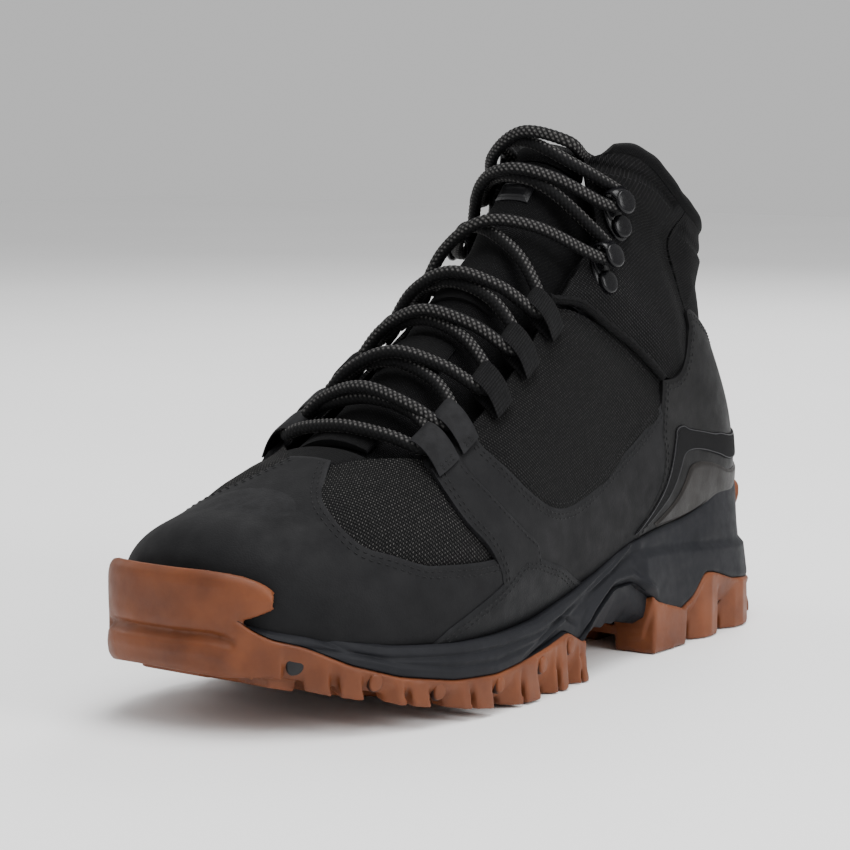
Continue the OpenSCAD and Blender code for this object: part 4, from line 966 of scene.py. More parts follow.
def rim_piece():
    """Padded roll over the edge of the collar, drawn in at its stitches."""
    section = [[-7.4, 0.2], [-8.0, 2.2], [-6.9, 4.6], [-4.2, 5.9], [-1.4, 4.9], [0.1, 2.6], [-0.6, 0.2]]
    section = smooth_line(section, 6)
    rows, cloth = [], []
    steps, middle = 400, -3.7
    fine = along(RIM_UV, np.linspace(0, len(RIM_UV) - 1, steps))
    run = running_length(loft(fine[:, 0], fine[:, 1]))
    for q, s in zip(fine, run):
        c, n, t = loft(q[0], q[1]), normal(q[0], q[1]), toe_to_collar(q[0], q[1])
        swell = 1 + 0.025 * math.sin(s / 4.3) + 0.02 * math.sin(s / 2.1 + 1)
        end = min(1.0, 0.25 + 0.75 * min(s, run[-1] - s) / 5.0)
        for k, (a, b) in enumerate(section):
            rows.append(c + n * (middle + (a - middle) * swell * end) + t * b * swell * end)
            cloth.append([s, k * 0.75, 0])
    return build("collar_rim_roll", place(rows), tube_faces(steps, len(section)), KNIT, "lining_fabric",
                 replaces=("collar_rim",), places=cloth, sharp=60)


rim_piece()

PIPE_UV = [[8.80, 0.215], [8.95, 0.235], [9.3, 0.274], [9.61, 0.335], [9.96, 0.386], [10.2, 0.424],
           [10.34, 0.446]]


def piping(side, word):
    """Twisted cord along the seam between the quarter and the collar."""
    sides, step = 14, 0.5
    points, _ = row_beside(PIPE_UV, 0.0, 0.95, side, step)
    _, x, y = turning_frames(points)
    twist = round_angles(sides)[None, :]
    run = np.arange(len(points))[:, None] * step
    r = (1.45 + 0.16 * np.sin(3 * twist + run * 1.6))[..., None]
    ring = np.cos(twist)[..., None] * x[:, None] + np.sin(twist)[..., None] * y[:, None]
    verts = (points[:, None] + r * ring).reshape(-1, 3)
    places = np.stack(np.broadcast_arrays(run, twist * 1.5, 0.0), -1).reshape(-1, 3)
    build(f"piping_cord_{word}", place(verts), tube_faces(len(points), sides), WEBBING, "webbing",
          replaces=(f"piping_{word}",), places=places, sharp=0)


for side, word in SIDES:
    piping(side, word)

# ---------------------------------------------------------------- lining and tongue
LINING_O, LINING_T = -6.0, 1.2
VAMP_LOW, VAMP_SIDE = [[0.9, 0.70], [3, 0.76], [5.2, 0.78]], [[0.9, 0.3], [3, 0.3], [5.2, 0.4]]
VAMP_LINES = [VAMP_LOW, VAMP_SIDE, [[0.9, 0], [3, 0], [4.9, 0]], mirror(VAMP_SIDE), mirror(VAMP_LOW)]
sheet_solid("vamp_lining_cloth", [grid(VAMP_LINES, 40, 80)], LINING_O, LINING_T, KNIT, "lining_fabric",
            ("vamp_lining",), drop=0.0)
LINING_LOW = both([[5.3, 0.78], [5.9, 0.78], [6.6, 0.78], [7.3, 0.78], [8.0, 0.78], [8.7, 0.78], [9.3, 0.79],
                   [9.9, 0.80], [10.4, 0.81], [10.8, 0.83], [11.1, 0.86], [11.35, 0.90], [11.52, 0.95], [11.6, 1]])
LINING_TOP = both([[5.3, 0.16], [6.2, 0.215], [7.4, 0.24], [9.0, 0.24], [11.0, 0.255], [13.0, 0.30], [14.3, 0.31],
                   [15.2, 0.315], [15.62, 0.35], [15.38, 0.45], [15.16, 0.55], [15.24, 0.68], [15.42, 0.84],
                   [15.66, 1]])
sheet_solid("shaft_lining_cloth", [grid([LINING_LOW, LINING_TOP], 190, 60)], LINING_O, LINING_T, KNIT,
            "lining_fabric", ("quarter_lining",), drop=0.0)
sheet_solid("throat_facing", [grid_over([[5.10, 0.060], [5.40, 0.105]], 10, 30)], -0.5, 1.4, WEBBING, "webbing",
            ("throat_band",), drop=0.3)

TONGUE_O = -8.0
TONGUE_EDGE = [[4.8, 0.27], [5.6, 0.30], [7, 0.305], [9, 0.30], [11, 0.305], [12.4, 0.295], [13.12, 0.285]]


def tongue_rise(u, v, base, edge):
    """Padding that is pressed into soft waves under each crossing of the lace."""
    arch = np.cos(np.clip(v / 0.29, -1, 1) * math.pi / 2) ** 2
    crown = 5.6 * np.minimum(1, np.maximum(0, u - 4.8) / 1.4) * arch
    levels = [6.2, 6.8, 7.45, 8.15, 9.2, 11.5]
    press = sum(bell(u - k, 0.16 + 0.03 * (k - 6)) for k in levels)
    return crown + 0.9 * (0.5 - press) * bell(v, 0.13) * smooth_step(edge / 6)


sheet_solid("tongue_pad", [grid_over(TONGUE_EDGE, 190, 70)], TONGUE_O, 4.2, TONGUE_CLOTH, "tongue_fabric",
                ("tongue",), drop=0.6, run=2.5, extra=tongue_rise)
TOP_FLAP = [[13.34, 0.240], [13.6, 0.242], [14, 0.230], [14.8, 0.195], [15.15, 0.16], [15.34, 0.10]]


def flap_rise(u, v, base, edge):
    """Rounded padding of the tongue's free top."""
    return 5.0 * np.cos(np.clip(v / 0.24, -1, 1) * math.pi / 2) ** 2 + 0.9 * smooth_step(edge / 5)


sheet_solid("tongue_flap", [grid_over(TOP_FLAP, 60, 44)], TONGUE_O, 3.4, TONGUE_CLOTH, "tongue_fabric",
                ("tongue_top",), body="tongue_top", drop=0.8, run=2.5, extra=flap_rise)


def patch_rise(u, v, base, edge):
    """Raised line just inside the edge of the blank patch."""
    return 0.25 * bell(edge - 2.2, 0.5)


sheet_solid("tongue_badge_blank", [grid_over([[10.55, 0.05], [11.55, 0.05]], 36, 24)], -1.1, 1.0, PATCH_LEATHER,
            "smooth_leather", ("tongue_patch",), drop=0.4, run=1.0, extra=patch_rise)


def keeper(word, u, v):
    """Ribbed webbing strip stitched across the middle of the tongue."""
    long, wide = 0.19, 0.10
    lines = [[[u - long, w], [u + long, w]] for w in (v + wide, v - wide)]

    def lie(uu, vv, base, edge):
        return 1.4 - 150 * vv**2 + 0.5 * bell(vv - v, 0.06)

    sheet_solid(f"keeper_strip_{word}", [grid(lines, 16, 60)], -2.4, 1.1, WEBBING, "webbing", (f"keeper_{word}",),
                drop=0.35, run=0.7, extra=lie)


for word, u, v in (("low", 5.75, -0.02), ("mid", 7.1, -0.01), ("high", 8.15, 0.02)):
    keeper(word, u, v)


# ---------------------------------------------------------------- lace hardware


def fold_loop(name, spans, v, o, tail_v, thick, material, slot, node, flare=0.0):
    """Folded loops round the lace at (v, o); the two ends lie together towards the seam at tail_v."""
    per_mm = 0.0088
    for side, word in SIDES:
        verts, faces, places = [], [], []
        for u0, u1 in spans:
            line = [[tail_v, o - 0.5], [v + 3.1 * per_mm, o - 2.3], [v, o - 3.1], [v - 2.6 * per_mm, o - 2.2],
                    [v - 3.4 * per_mm, o], [v - 2.6 * per_mm, o + 2.3], [v, o + 3.2], [v + 3.2 * per_mm, o + 2.7],
                    [tail_v, o + 0.7]]
            path = smooth_line(line, 6)
            across = np.linspace(-1, 1, 11)
            middle, half = (u0 + u1) / 2, (u1 - u0) / 2
            n, m = len(path), len(across)
            base = len(verts)
            spread = 1 + flare * np.linspace(1, 0, n) ** 2 + flare * np.linspace(0, 1, n) ** 2
            centre = np.array([[one(middle + half * sp * a, side * q[0], q[1]) for a in across]
                               for q, sp in zip(path, spread)])
            along_t = unit(np.gradient(centre, axis=0))
            across_t = unit(np.gradient(centre, axis=1))
            face_n = unit(np.cross(along_t, across_t))
            half_t = thick / 2 * np.sqrt(np.maximum(0.12, 1 - np.abs(across) ** 6))[None, :, None]
            for sign in (1, -1):
                verts += list((centre + sign * half_t * face_n).reshape(-1, 3))
                places += [[j * 0.9 * (u1 - u0) * 30 / m, i * 0.42, 0] for i in range(n) for j in range(m)]
            k = n * m
            for f in grid_faces(n, m, base):
                faces += [f, [a + k for a in f[::-1]]]
            for i in range(n - 1):
                a, b = base + i * m, base + (i + 1) * m
                faces += [[a + k, a, b, b + k], [b + m - 1 + k, b + m - 1, a + m - 1, a + m - 1 + k]]
            for j in range(m - 1):
                a, b = base + j, base + (n - 1) * m + j
                faces += [[a, a + k, a + 1 + k, a + 1], [b + k, b, b + 1, b + 1 + k]]
        build(f"{name}_{word}", place(verts), faces, material, slot, replaces=(f"{node}_{word}",), places=places)


fold_loop("leather_loop", [[5.86, 6.20], [6.31, 6.58]], 0.19, 1.3, 0.262, 1.1, NUBUCK, "nubuck",
          "leather_loops", 0.12)
fold_loop("web_loop", [[u - 0.16, u + 0.16] for u in (7.12, 7.80, 8.50)], 0.205, 1.6, 0.268, 1.0, WEBBING,
          "webbing", "web_loops")


HOOK_HALF_WIDTH, HOOK_BEVEL, HOOK_HALF_THICK = 3.4, 0.5, 0.62


def hook_mesh(h, profile):
    """Strip bent along profile (a, c) and rounded at its two sides."""
    verts = []
    n = len(profile)
    flat = HOOK_HALF_WIDTH - HOOK_BEVEL
    for b, shrink in ((-HOOK_HALF_WIDTH, HOOK_BEVEL), (-flat, 0), (flat, 0), (HOOK_HALF_WIDTH, HOOK_BEVEL)):
        for here, other in zip(profile, profile[::-1]):
            d = (here + other) / 2 - here
            a, c = here + d / max(np.linalg.norm(d), 1e-6) * shrink
            verts.append(hook_at(h, a, b, c))
    faces = tube_faces(4, n)[: 3 * n]
    for i in range(n // 2 - 1):
        faces.append([i + 1, i, n - 1 - i, n - 2 - i])
        faces.append([3 * n + i, 3 * n + i + 1, 4 * n - 2 - i, 4 * n - 1 - i])
    return verts, faces


def turned_part(h, a0, rows):
    """Round part on a hook: rows of (radius, height) round the point a0."""
    verts = [hook_at(h, a0 + r * math.cos(q), r * math.sin(q), c) for r, c in rows for q in round_angles(36)]
    return verts, tube_faces(len(rows), 36)


def plate(h):
    """Teardrop base under the hook, wide at the rivet and narrow at the throat."""
    rows = []
    for inwards, c in ((0.5, -0.6), (0.0, -0.2), (0.0, 0.5), (0.55, 0.95)):
        for q in round_angles(48):
            lean = 0.5 + 0.5 * math.cos(q)
            r = 5.4 - 1.5 * lean - inwards
            rows.append(hook_at(h, -7.0 + r * math.cos(q) + 8.2 * lean**1.3, r * math.sin(q), c))
    return rows, tube_faces(4, 48)


HOOK_LINE = [[-3.5, 1.0], [0.5, 0.95], [3.4, 1.35], [5.3, 2.7], [6.0, 4.6], [5.2, 6.6], [3.2, 7.9], [0.6, 8.3],
             [-1.9, 7.9]]


def hook_profile():
    """The bent line given a thickness, outer line first."""
    line = smooth_line(HOOK_LINE, 5)
    t = unit(np.gradient(line, axis=0))
    side = np.stack([t[:, 1], -t[:, 0]], 1)
    return np.concatenate([line + HOOK_HALF_THICK * side, (line - HOOK_HALF_THICK * side)[::-1]])


def hardware():
    profile = hook_profile()
    dome = [(3.9, 0.8), (4.15, 1.2), (4.15, 2.3), (3.9, 2.75), (3.5, 2.95), (2.2, 3.1), (0.4, 3.15)]
    button = [(3.6, 7.0), (4.2, 7.5), (4.3, 8.4), (4.0, 8.9), (3.5, 9.1), (2.0, 9.25), (0.4, 9.3)]
    build("hook_plates", *joined([plate(h) for h in HOOKS]), HOOK, "hardware",
          replaces=("hook_bases",), sharp=70)
    build("hook_rivet_heads", *joined([turned_part(h, -7.2, dome) for h in HOOKS]), HOOK, "hardware",
          replaces=("hook_rivets",), sharp=70)
    for side, word in SIDES:
        mine = [h for h in HOOKS if h[2] == side]
        parts = [hook_mesh(h, profile) for h in mine] + [turned_part(h, 0.6, button) for h in mine]
        build(f"hook_arms_{word}", *joined(parts), HOOK, "hardware", replaces=(f"hooks_{word}",), sharp=60)


hardware()


# ---------------------------------------------------------------- sole
# Sole outline: y, x on the inner side, x on the outer side
SOLE = [
    [-142, -20, -4], [-140, -30, 6], [-134, -38, 18], [-120, -46, 33], [-98, -51, 48],
    [-72, -52, 56], [-45, -49, 57], [-10, -44, 53], [30, -39, 47], [70, -38, 43],
    [108, -38, 41], [133, -33, 36], [146, -22, 24], [151, -8, 10],
]
# By y: edge between rubber and foam, top of the foam, lean of the foam at the top and at mid height,
# underside of the foam at the edge and in the middle
EDGE = [
    [-142, 37], [-134.6, 36.8], [-131, 33], [-128, 30.8], [-121, 28.4], [-109, 21.8], [-95, 17],
    [-75, 13.5], [-55, 12.5], [-40, 14],
    [-24, 16], [-10, 18.5], [2, 13], [12, 20], [26, 27], [40, 27], [55, 19.5], [63, 13], [71, 11.5],
    [83, 16], [91, 23.5], [97, 23], [112, 18.5], [133, 16], [151, 15],
]
RIM = [
    [-142, 35], [-134, 35], [-120, 31.5], [-98, 26.5], [-72, 24.4], [-50, 24], [-27, 24.8], [0, 29.8],
    [18, 33.4], [38, 39.2], [48, 40.8], [60, 42.3], [82, 44.2], [97, 47.4], [105, 51],
    [111, 55], [118, 57.5], [133, 59], [151, 59],
]
LEAN = [[-142, 5], [-120, 3], [-90, 2], [-40, 2], [10, 3], [60, 3], [110, 4], [133, 6.6], [151, 9]]
BELLY = [[-142, 2], [-90, 0.4], [-20, 0.4], [60, 1], [110, 2], [151, 4.5]]
UNDER = [[-10, 7.5], [2, 9], [12, 14], [25, 22], [38, 22], [50, 14], [62, 9], [151, 9]]
MIDDLE_Z = [[-10, 7.5], [4, 11], [12, 13], [44, 13], [56, 9], [151, 9]]
LUG_H = 5.0
TOE_RISE, RISE_FROM, RISE_LENGTH = 20.0, -35, 107


def spring(y):
    """How far the tread rises off the ground towards the toe."""
    return TOE_RISE * (np.maximum(0, RISE_FROM - np.asarray(y, float)) / RISE_LENGTH) ** 1.6


def table_value(table, y):
    return np.interp(y, *np.transpose(table))


def blur(values, reach):
    """Softens a row of numbers round the closed outline."""
    k = np.hanning(2 * reach + 3)[1:-1]
    return np.convolve(np.pad(values, reach, mode="wrap"), k / k.sum(), "valid")


def outline():
    """Points and outward normals round the sole."""
    rows = along(SOLE, np.linspace(0, 13, 700))
    outer = np.stack([rows[:, 2], rows[:, 0]], 1)
    inner = np.stack([rows[:, 1], rows[:, 0]], 1)
    ring = np.concatenate([outer, inner[::-1]])
    ring, _ = resample(np.concatenate([ring, ring[:1]]), 0.8)
    ring = ring[:-1]
    for _ in range(30):
        ring = 0.25 * np.roll(ring, 1, 0) + 0.5 * ring + 0.25 * np.roll(ring, -1, 0)
    t = unit(np.roll(ring, -1, 0) - np.roll(ring, 1, 0))
    n = np.stack([t[:, 1], -t[:, 0]], 1)
    if np.dot(n[np.argmax(ring[:, 0])], [1, 0]) < 0:
        n = -n
    return ring, n


RING, RING_N = outline()
RING_Y = RING[:, 1]
RING_EDGE = blur(table_value(EDGE, RING_Y), 3)
RING_RIM = blur(table_value(RIM, RING_Y), 8)


def inset(index, ins, z):
    """Outline points moved in by ins at height z; the wall at the back of the heel slopes in as it rises."""
    z = np.broadcast_to(np.asarray(z, float), (len(index),))
    rear = smooth_step((RING_Y[index] - 116) / 30)
    slope = 3.2 * rear * smooth_step((z - 5) / 11) * (1 - 0.75 * smooth_step((z - 34) / 18))
    p = RING[index] - RING_N[index] * (ins + slope)[:, None]
    return np.concatenate([p, z[:, None]], 1)


def arc(low, high):
    """Outline indices with y between low and high, in one run that passes the toe or the heel."""
    keep = (RING_Y > low) & (RING_Y < high)
    start = [i for i in range(len(keep)) if keep[i] and not keep[i - 1]]
    if not start:
        return np.arange(len(keep))
    run = [start[0]]
    while keep[(run[-1] + 1) % len(keep)]:
        run.append((run[-1] + 1) % len(keep))
    return np.array(run)


def stack_solid(rows):
    """Closed solid from rings of points, the first and last closed by strips."""
    n = len(rows[0])
    verts = np.concatenate(rows)
    faces = []
    for i in range(len(rows) - 1):
        for j in range(n):
            a, b = i * n + j, i * n + (j + 1) % n
            faces.append([a, b, b + n, a + n])
    last = (len(rows) - 1) * n
    for j in range(n // 2 - 1):
        a, b = j, n - 1 - j
        faces.append([a, b, b - 1, a + 1])
        faces.append([last + a, last + a + 1, last + b - 1, last + b])
    return verts, faces


def edge_x(y, side):
    """Outline point at y on a side, with its outward normal."""
    ok = np.where((np.sign(RING_N[:, 0]) == side) & (np.abs(RING_N[:, 0]) > 0.25))[0]
    i = ok[np.argmin(np.abs(RING_Y[ok] - y))]
    return RING[i], RING_N[i]


def lug(side, plan, under_edge, lean, flare):
    """Tread block up to under_edge mm below the rubber's edge: plan is a list of (y, inset), the foot lies
    lean mm further back and flare mm further out."""
    low, high = [], []
    for y, o in plan:
        p, n = edge_x(y, side)
        q = p - n * (o - flare)
        low.append([q[0], q[1] + lean, spring(y)])
        q = p - n * o
        high.append([q[0], q[1], float(table_value(EDGE, y)) - under_edge])
    if side < 0:
        low, high = low[::-1], high[::-1]
    k = len(plan)
    faces = [[j, (j + 1) % k, (j + 1) % k + k, j + k] for j in range(k)]
    faces += [list(range(k))[::-1], [k + j for j in range(k)]]
    return np.array(low + high), faces


BOX_LUG_ROWS = ((0.0, 0.0), (1.0, LUG_H + 1.5))


def box_lug(x, y, a, b, turn):
    """Tread block away from the edge, a by b mm at the ground."""
    c, s = math.cos(math.radians(turn)), math.sin(math.radians(turn))
    verts = []
    for grow, up in BOX_LUG_ROWS:
        for i, j in ((-1, -1), (1, -1), (1, 1), (-1, 1)):
            p, q = i * (a / 2 + grow), j * (b / 2 + grow)
            yy = y + p * s + q * c
            verts.append([x + p * c - q * s, yy, float(spring(yy)) + up])
    walls = [[0, 1, 5, 4], [1, 2, 6, 5], [2, 3, 7, 6], [3, 0, 4, 7]]
    return np.array(verts), [[3, 2, 1, 0], [4, 5, 6, 7], *walls]


SLIT = 2.3
FORE_LUGS = [[-121.5, -106.5], [-100, -86], [-78, -59], [-51, -33], [-25, -13], [-7, 1.5]]
WALL_FOOT = 3.0
TOE_END, LOBE_END = -126.0, -126.8
WALL_SHARES = (0.0, 0.2, 0.4, 0.6, 0.8, 1.0)


def recess(y, share):
    """How far the rubber wall stands back at a share of its height, nothing within the toe block."""
    deep = np.interp(share, [0, 0.25, 0.55, 1], [4.2, 2.4, 0.9, 0.0])
    return deep * (np.asarray(y) > TOE_END)


def toe_crease(y):
    """Height of the groove round the toe, between the toe block and the lobe over it."""
    return 32.0 - 3.6 * smooth_step((y + 140) / 9)


def toe_tip(y):
    """1 round the tip of the toe, 0 along the sides."""
    return smooth_step((-132.5 - y) / 6)


def wall_lugs():
    """Edge lugs in pairs, each rising gently at the front and cut off sharply at the back."""
    parts = []
    for y0, y1 in FORE_LUGS:
        for side in (1, -1):
            m, span = (y0 + y1) / 2, y1 - y0
            scoop = 4.4 if y0 > -120 else 2.4
            first, last = m - SLIT / 2, m + SLIT / 2
            plans = [
                [(y0, scoop), (y0 + 0.28 * span, 0.3), (first, 0.0), (first - 0.3, 12), (y0 + 1, 12)],
                [(last, 0.0), (y1 - 0.2, -0.2), (y1 - 1.0, 12), (last - 0.3, 12)],
            ]
            parts += [lug(side, plan, 1.6, 1.6, 0.5) for plan in plans]
    return parts


def forefoot():
    i = arc(-160, 3.5)
    y = RING_Y[i]
    edge = RING_EDGE[i]
    base = spring(y) + WALL_FOOT
    within = 6.0 * smooth_step((-134.8 - y) / 2)
    rows = [inset(i, 9 + within, base)]
    for share in WALL_SHARES:
        rows.append(inset(i, recess(y, share) + 0.05 + within, base + (edge - 0.6 - base) * share))
    rows += [inset(i, 0.7 + within, edge), inset(i, 3.4 + within, edge)]
    rows += [inset(i, 4.2 + within, base + 5.0), inset(i, 9 + within, base + 4.2)]
    parts = [stack_solid(rows)]
    # Toe block down to the tread
    i = arc(-160, TOE_END)
    y, edge = RING_Y[i], RING_EDGE[i]
    ground = spring(y) + 2.8 * smooth_step((y + 139) / 12)
    fade, crease = toe_tip(y), toe_crease(y)
    top = np.minimum(edge, crease + 1.5)
    rows = [
        inset(i, 22, ground + 1.0), inset(i, 3.0, ground), inset(i, 0.9, ground + 0.5),
        inset(i, -0.2, ground + 2.4), inset(i, -0.7 * fade, ground + 7),
        inset(i, -0.9 * fade, crease - 6 - (1 - fade) * 4),
        inset(i, -0.4 * fade, np.minimum(crease - 2.4, edge - 2)),
        inset(i, 2.7 * fade, np.minimum(crease, edge)),
        inset(i, 4.8 + 2 * fade, top), inset(i, 22, top - 8),
    ]
    parts.append(stack_solid(rows))
    # Rounded lobe that wraps the toe above the crease
    i = arc(-160, LOBE_END)
    y = RING_Y[i]
    out = np.clip((LOBE_END - y) / 8.0, 0, 1)
    curl = 1 - np.sqrt(np.maximum(0, 1 - (1 - out) ** 2))
    fade, crease = toe_tip(y), toe_crease(y)
    high = 52.2 - 3.4 * smooth_step((y + 142) / 16) - 5.4 * curl
    low = np.interp(y, [-136.4, -135.4, -134.8, -131.2, -126.8], [0, 0, 7.4, 9.6, 12.2]) + crease - 0.2
    mid = (high + low) / 2
    rows = [
        inset(i, 6.4, low + 0.4), inset(i, 2.3 * fade + 0.8, low),
        inset(i, 0.4 * fade + 0.15, np.minimum(mid, low + 2.2)), inset(i, 0.0, np.minimum(mid, low + 4.5)),
        inset(i, -0.1, mid), inset(i, 0.0, np.maximum(mid, high - 4.5)),
        inset(i, 0.5, np.maximum(mid, high - 2.0)),
        inset(i, 1.6, high - 0.3), inset(i, 2.8, high), inset(i, 4.0, high - 0.8), inset(i, 6.4, mid),
    ]
    parts.append(stack_solid(rows))
    parts += wall_lugs()
    for y in (-118, -96, -74, -52, -30):
        for x in (-8, 14):
            parts.append(box_lug(x, y, 20, 9, 20 if x < 0 else -20))
    parts += [box_lug(3, -9, 26, 8, 0), box_lug(-11, -131, 24, 7, 0)]
    remeshed("rubber_forefoot", parts, 0.75, 2, ("outsole_forefoot", "toe_bumper"))


forefoot()


# Heel lugs: plan as (y, inset), lean, flare
HEEL_LUGS = [
    ([(54, 0.2), (76.5, -0.3), (79, 2.2), (77.5, 16), (54, 16)], -1.5, 0.4),
    ([(84, 3.6), (89, 0.6), (94, -0.3), (101, 1.0), (103, 4.2), (100, 14), (85, 14)], -1.0, 0.6),
    ([(108, 4.0), (113, 0.6), (119, -0.3), (126, 0.9), (128, 4.2), (124, 14), (109, 14)], -0.5, 0.6),
]


def rear_block(x0, x1):
    """Tread block at the back of the heel, between x0 and x1."""
    i = np.array([k for k in range(len(RING)) if x0 < RING[k][0] < x1 and RING_Y[k] > 120])
    s = np.linspace(-1, 1, len(i))
    swell = 0.4 - 1.6 * (1 - np.abs(s) ** 4)
    wall = ((-0.3, 0.0), (-0.2, 3.0), (0.6, 9.0), (1.4, 14.5))
    return stack_solid([np.concatenate([inset(i, swell + a, z), inset(i, 12, z)[::-1]]) for a, z in wall])


def heel():
    i = arc(52.5, 170)
    edge = RING_EDGE[i]
    rows = [inset(i, 9, LUG_H)]
    for share in WALL_SHARES:
        back = np.interp(share, [0, 0.35, 0.7, 1], [5.0, 3.6, 1.3, 0.0])
        rows.append(inset(i, back + 0.05, LUG_H + (edge - 0.6 - LUG_H) * share))
    rows += [inset(i, 0.7, edge), inset(i, 3.4, edge), inset(i, 4.2, LUG_H + 3.4), inset(i, 9, LUG_H + 3)]
    parts = [stack_solid(rows)]
    parts += [lug(side, plan, 1.2, lean, flare) for side in (1, -1) for plan, lean, flare in HEEL_LUGS]
    parts += [rear_block(x0, x1) for x0, x1 in ((-26, -13), (-8, 9), (14, 27))]
    parts += [box_lug(1, 66, 26, 10, 0), box_lug(1, 92, 24, 9, 0), box_lug(1, 114, 22, 9, 0)]
    remeshed("rubber_heel", parts, 0.75, 2, ("outsole_heel",))


heel()


def clip():
    """Rubber tab set on the back of the heel, rounded at its ends."""
    i = arc(134.5, 170)
    s = np.linspace(-1, 1, len(i))
    size = np.sqrt(np.maximum(0.02, 1 - np.abs(s) ** 5))
    mid = 46.5
    section = [(6.0, -7.4), (7.0, -5.5), (7.6, -1.0), (8.3, 3.5), (9.0, 6.6), (8.6, 7.5), (7.4, 7.4),
               (4.6, 4.0), (4.2, -1), (4.6, -6)]
    rows = [inset(i, a + 0.2 + 1.6 * (1 - size), mid + b * size) for a, b in section]
    parts = [stack_solid(np.stack(rows, 1))]
    remeshed("rubber_heel_tab", parts, 0.6, 3, ("heel_clip",))


clip()


def d_studs(name, spots, material, slot, replaces=()):
    """Small D-shaped plugs in the gaps between the tread blocks: (y, z, size, how proud they stand)."""
    verts, faces = [], []
    for y, z, size, proud in spots:
        base_z, top_z = float(spring(y)) + WALL_FOOT, float(table_value(EDGE, y)) - 0.6
        back = float(recess(y, (z - base_z) / (top_z - base_z))) - proud
        for side in (1, -1):
            p, n = edge_x(y, side)
            t = np.array([-n[1], n[0], 0.0]) * side
            shape = []
            for q in round_angles(28):
                a, b = math.cos(q), math.sin(q)
                a = np.sign(a) * abs(a) ** 0.8 * (1.0 if a > 0 else 0.72)
                shape.append((a * size, b * size * 1.05 + 0.10 * size * a))
            base = len(verts)
            rows = [(1.0, back + 1.2), (1.0, back + 0.1), (0.93, back - 0.35), (0.7, back - 0.55)]
            for grow, o in rows:
                centre = np.array([p[0], p[1], z]) - np.array([n[0], n[1], 0.0]) * o
                verts += [centre + t * a * grow + np.array([0, 0, 1.0]) * b * grow for a, b in shape]
            ring = tube_faces(4, 28)
            faces += [[base + v for v in (f if side > 0 else f[::-1])] for f in ring]
    build(name, place(verts), faces, material, slot, replaces=replaces, sharp=60)


PLUGS = [(-102.6, 16.2, 2.6, 0.5), (-81.4, 10.9, 2.6, 0.5), (-54.4, 8.9, 2.4, 0.5), (-28.6, 11.0, 2.6, 0.5),
         (-9.6, 14.0, 2.6, 0.5)]
d_studs("toe_plugs_black", [(-123.4, 23.0, 3.3, -0.3)], BLACK_RUBBER, "black_rubber", ("toe_studs",))
# Dark gum rings set a little behind and round each plug: painted shade in the grooves round the plugs.
d_studs("tread_plug_gap_shade", [(y, z, size + 0.4, -0.25) for y, z, size, _ in PLUGS], SEAM_SHADE, "gum_rubber")
d_studs("tread_plugs", PLUGS, GUM, "gum_rubber")


# ---------------------------------------------------------------- foam midsole
def upper_inset():
    """How far in from the outline the upper's surface is, at the height of the foam's rim."""
    u, v = np.meshgrid(np.linspace(0, 12.8, 260), np.linspace(0.3, 1.7, 300), indexing="ij")
    p = loft(u, np.where(v > 1, v - 2, v)).reshape(-1, 3)
    n = normal(u, np.where(v > 1, v - 2, v)).reshape(-1, 3)
    tree = KDTree(len(p))
    for k, q in enumerate(p):
        tree.insert(q, k)
    tree.balance()
    found = []
    for k in range(len(RING)):
        best = 16.0
        for ins in np.arange(2.0, 18.0, 0.4):
            q = np.array([*(RING[k] - RING_N[k] * ins), RING_RIM[k]])
            near, j, _ = tree.find(q)
            if np.dot(q - p[j], n[j]) < 0.4:
                best = ins
                break
        found.append(best)
    return blur(np.array(found), 6)


RING_UP = upper_inset()


def foam_relief(y, z, edge, rim):
    """Inward depth of the grooves and steps moulded in the foam wall."""
    fore = smooth_step((y + 132) / 8) * smooth_step((2 - y) / 8)
    depth = 0.9 * fore * bell(z - (edge + 4.2 + 1.2 * smooth_step((y + 30) / 25)), 0.75)
    depth += 0.5 * fore * smooth_step((z - edge - 4.2) / 1.2)
    long = smooth_step((y + 128) / 8) * smooth_step((60 - y) / 20)
    depth += 0.8 * long * bell(z - (rim - 3.6), 0.8)
    crease = np.interp(y, [41, 54, 66, 77, 94, 118, 151], [34.9, 36.1, 35.5, 34.6, 33.3, 31.3, 30.0])
    rear = smooth_step((y - 42) / 12)
    depth += rear * (1.5 * bell(z - crease, 0.8) + 1.8 * smooth_step((z - crease) / 1.2))
    diagonal = np.interp(y, [-45, -10, 12, 30, 48], [14, 24, 30.5, 36, 43])
    arch = smooth_step((y + 45) / 12) * smooth_step((50 - y) / 6)
    depth += arch * (1.0 * bell(z - diagonal, 0.9) + 2.3 * smooth_step((diagonal - z) / 3.0))
    lip = smooth_step((y - 2) / 6) * smooth_step((58 - y) / 6)
    depth -= lip * 1.7 * bell(z - (edge + 3.2), 1.7)
    return depth


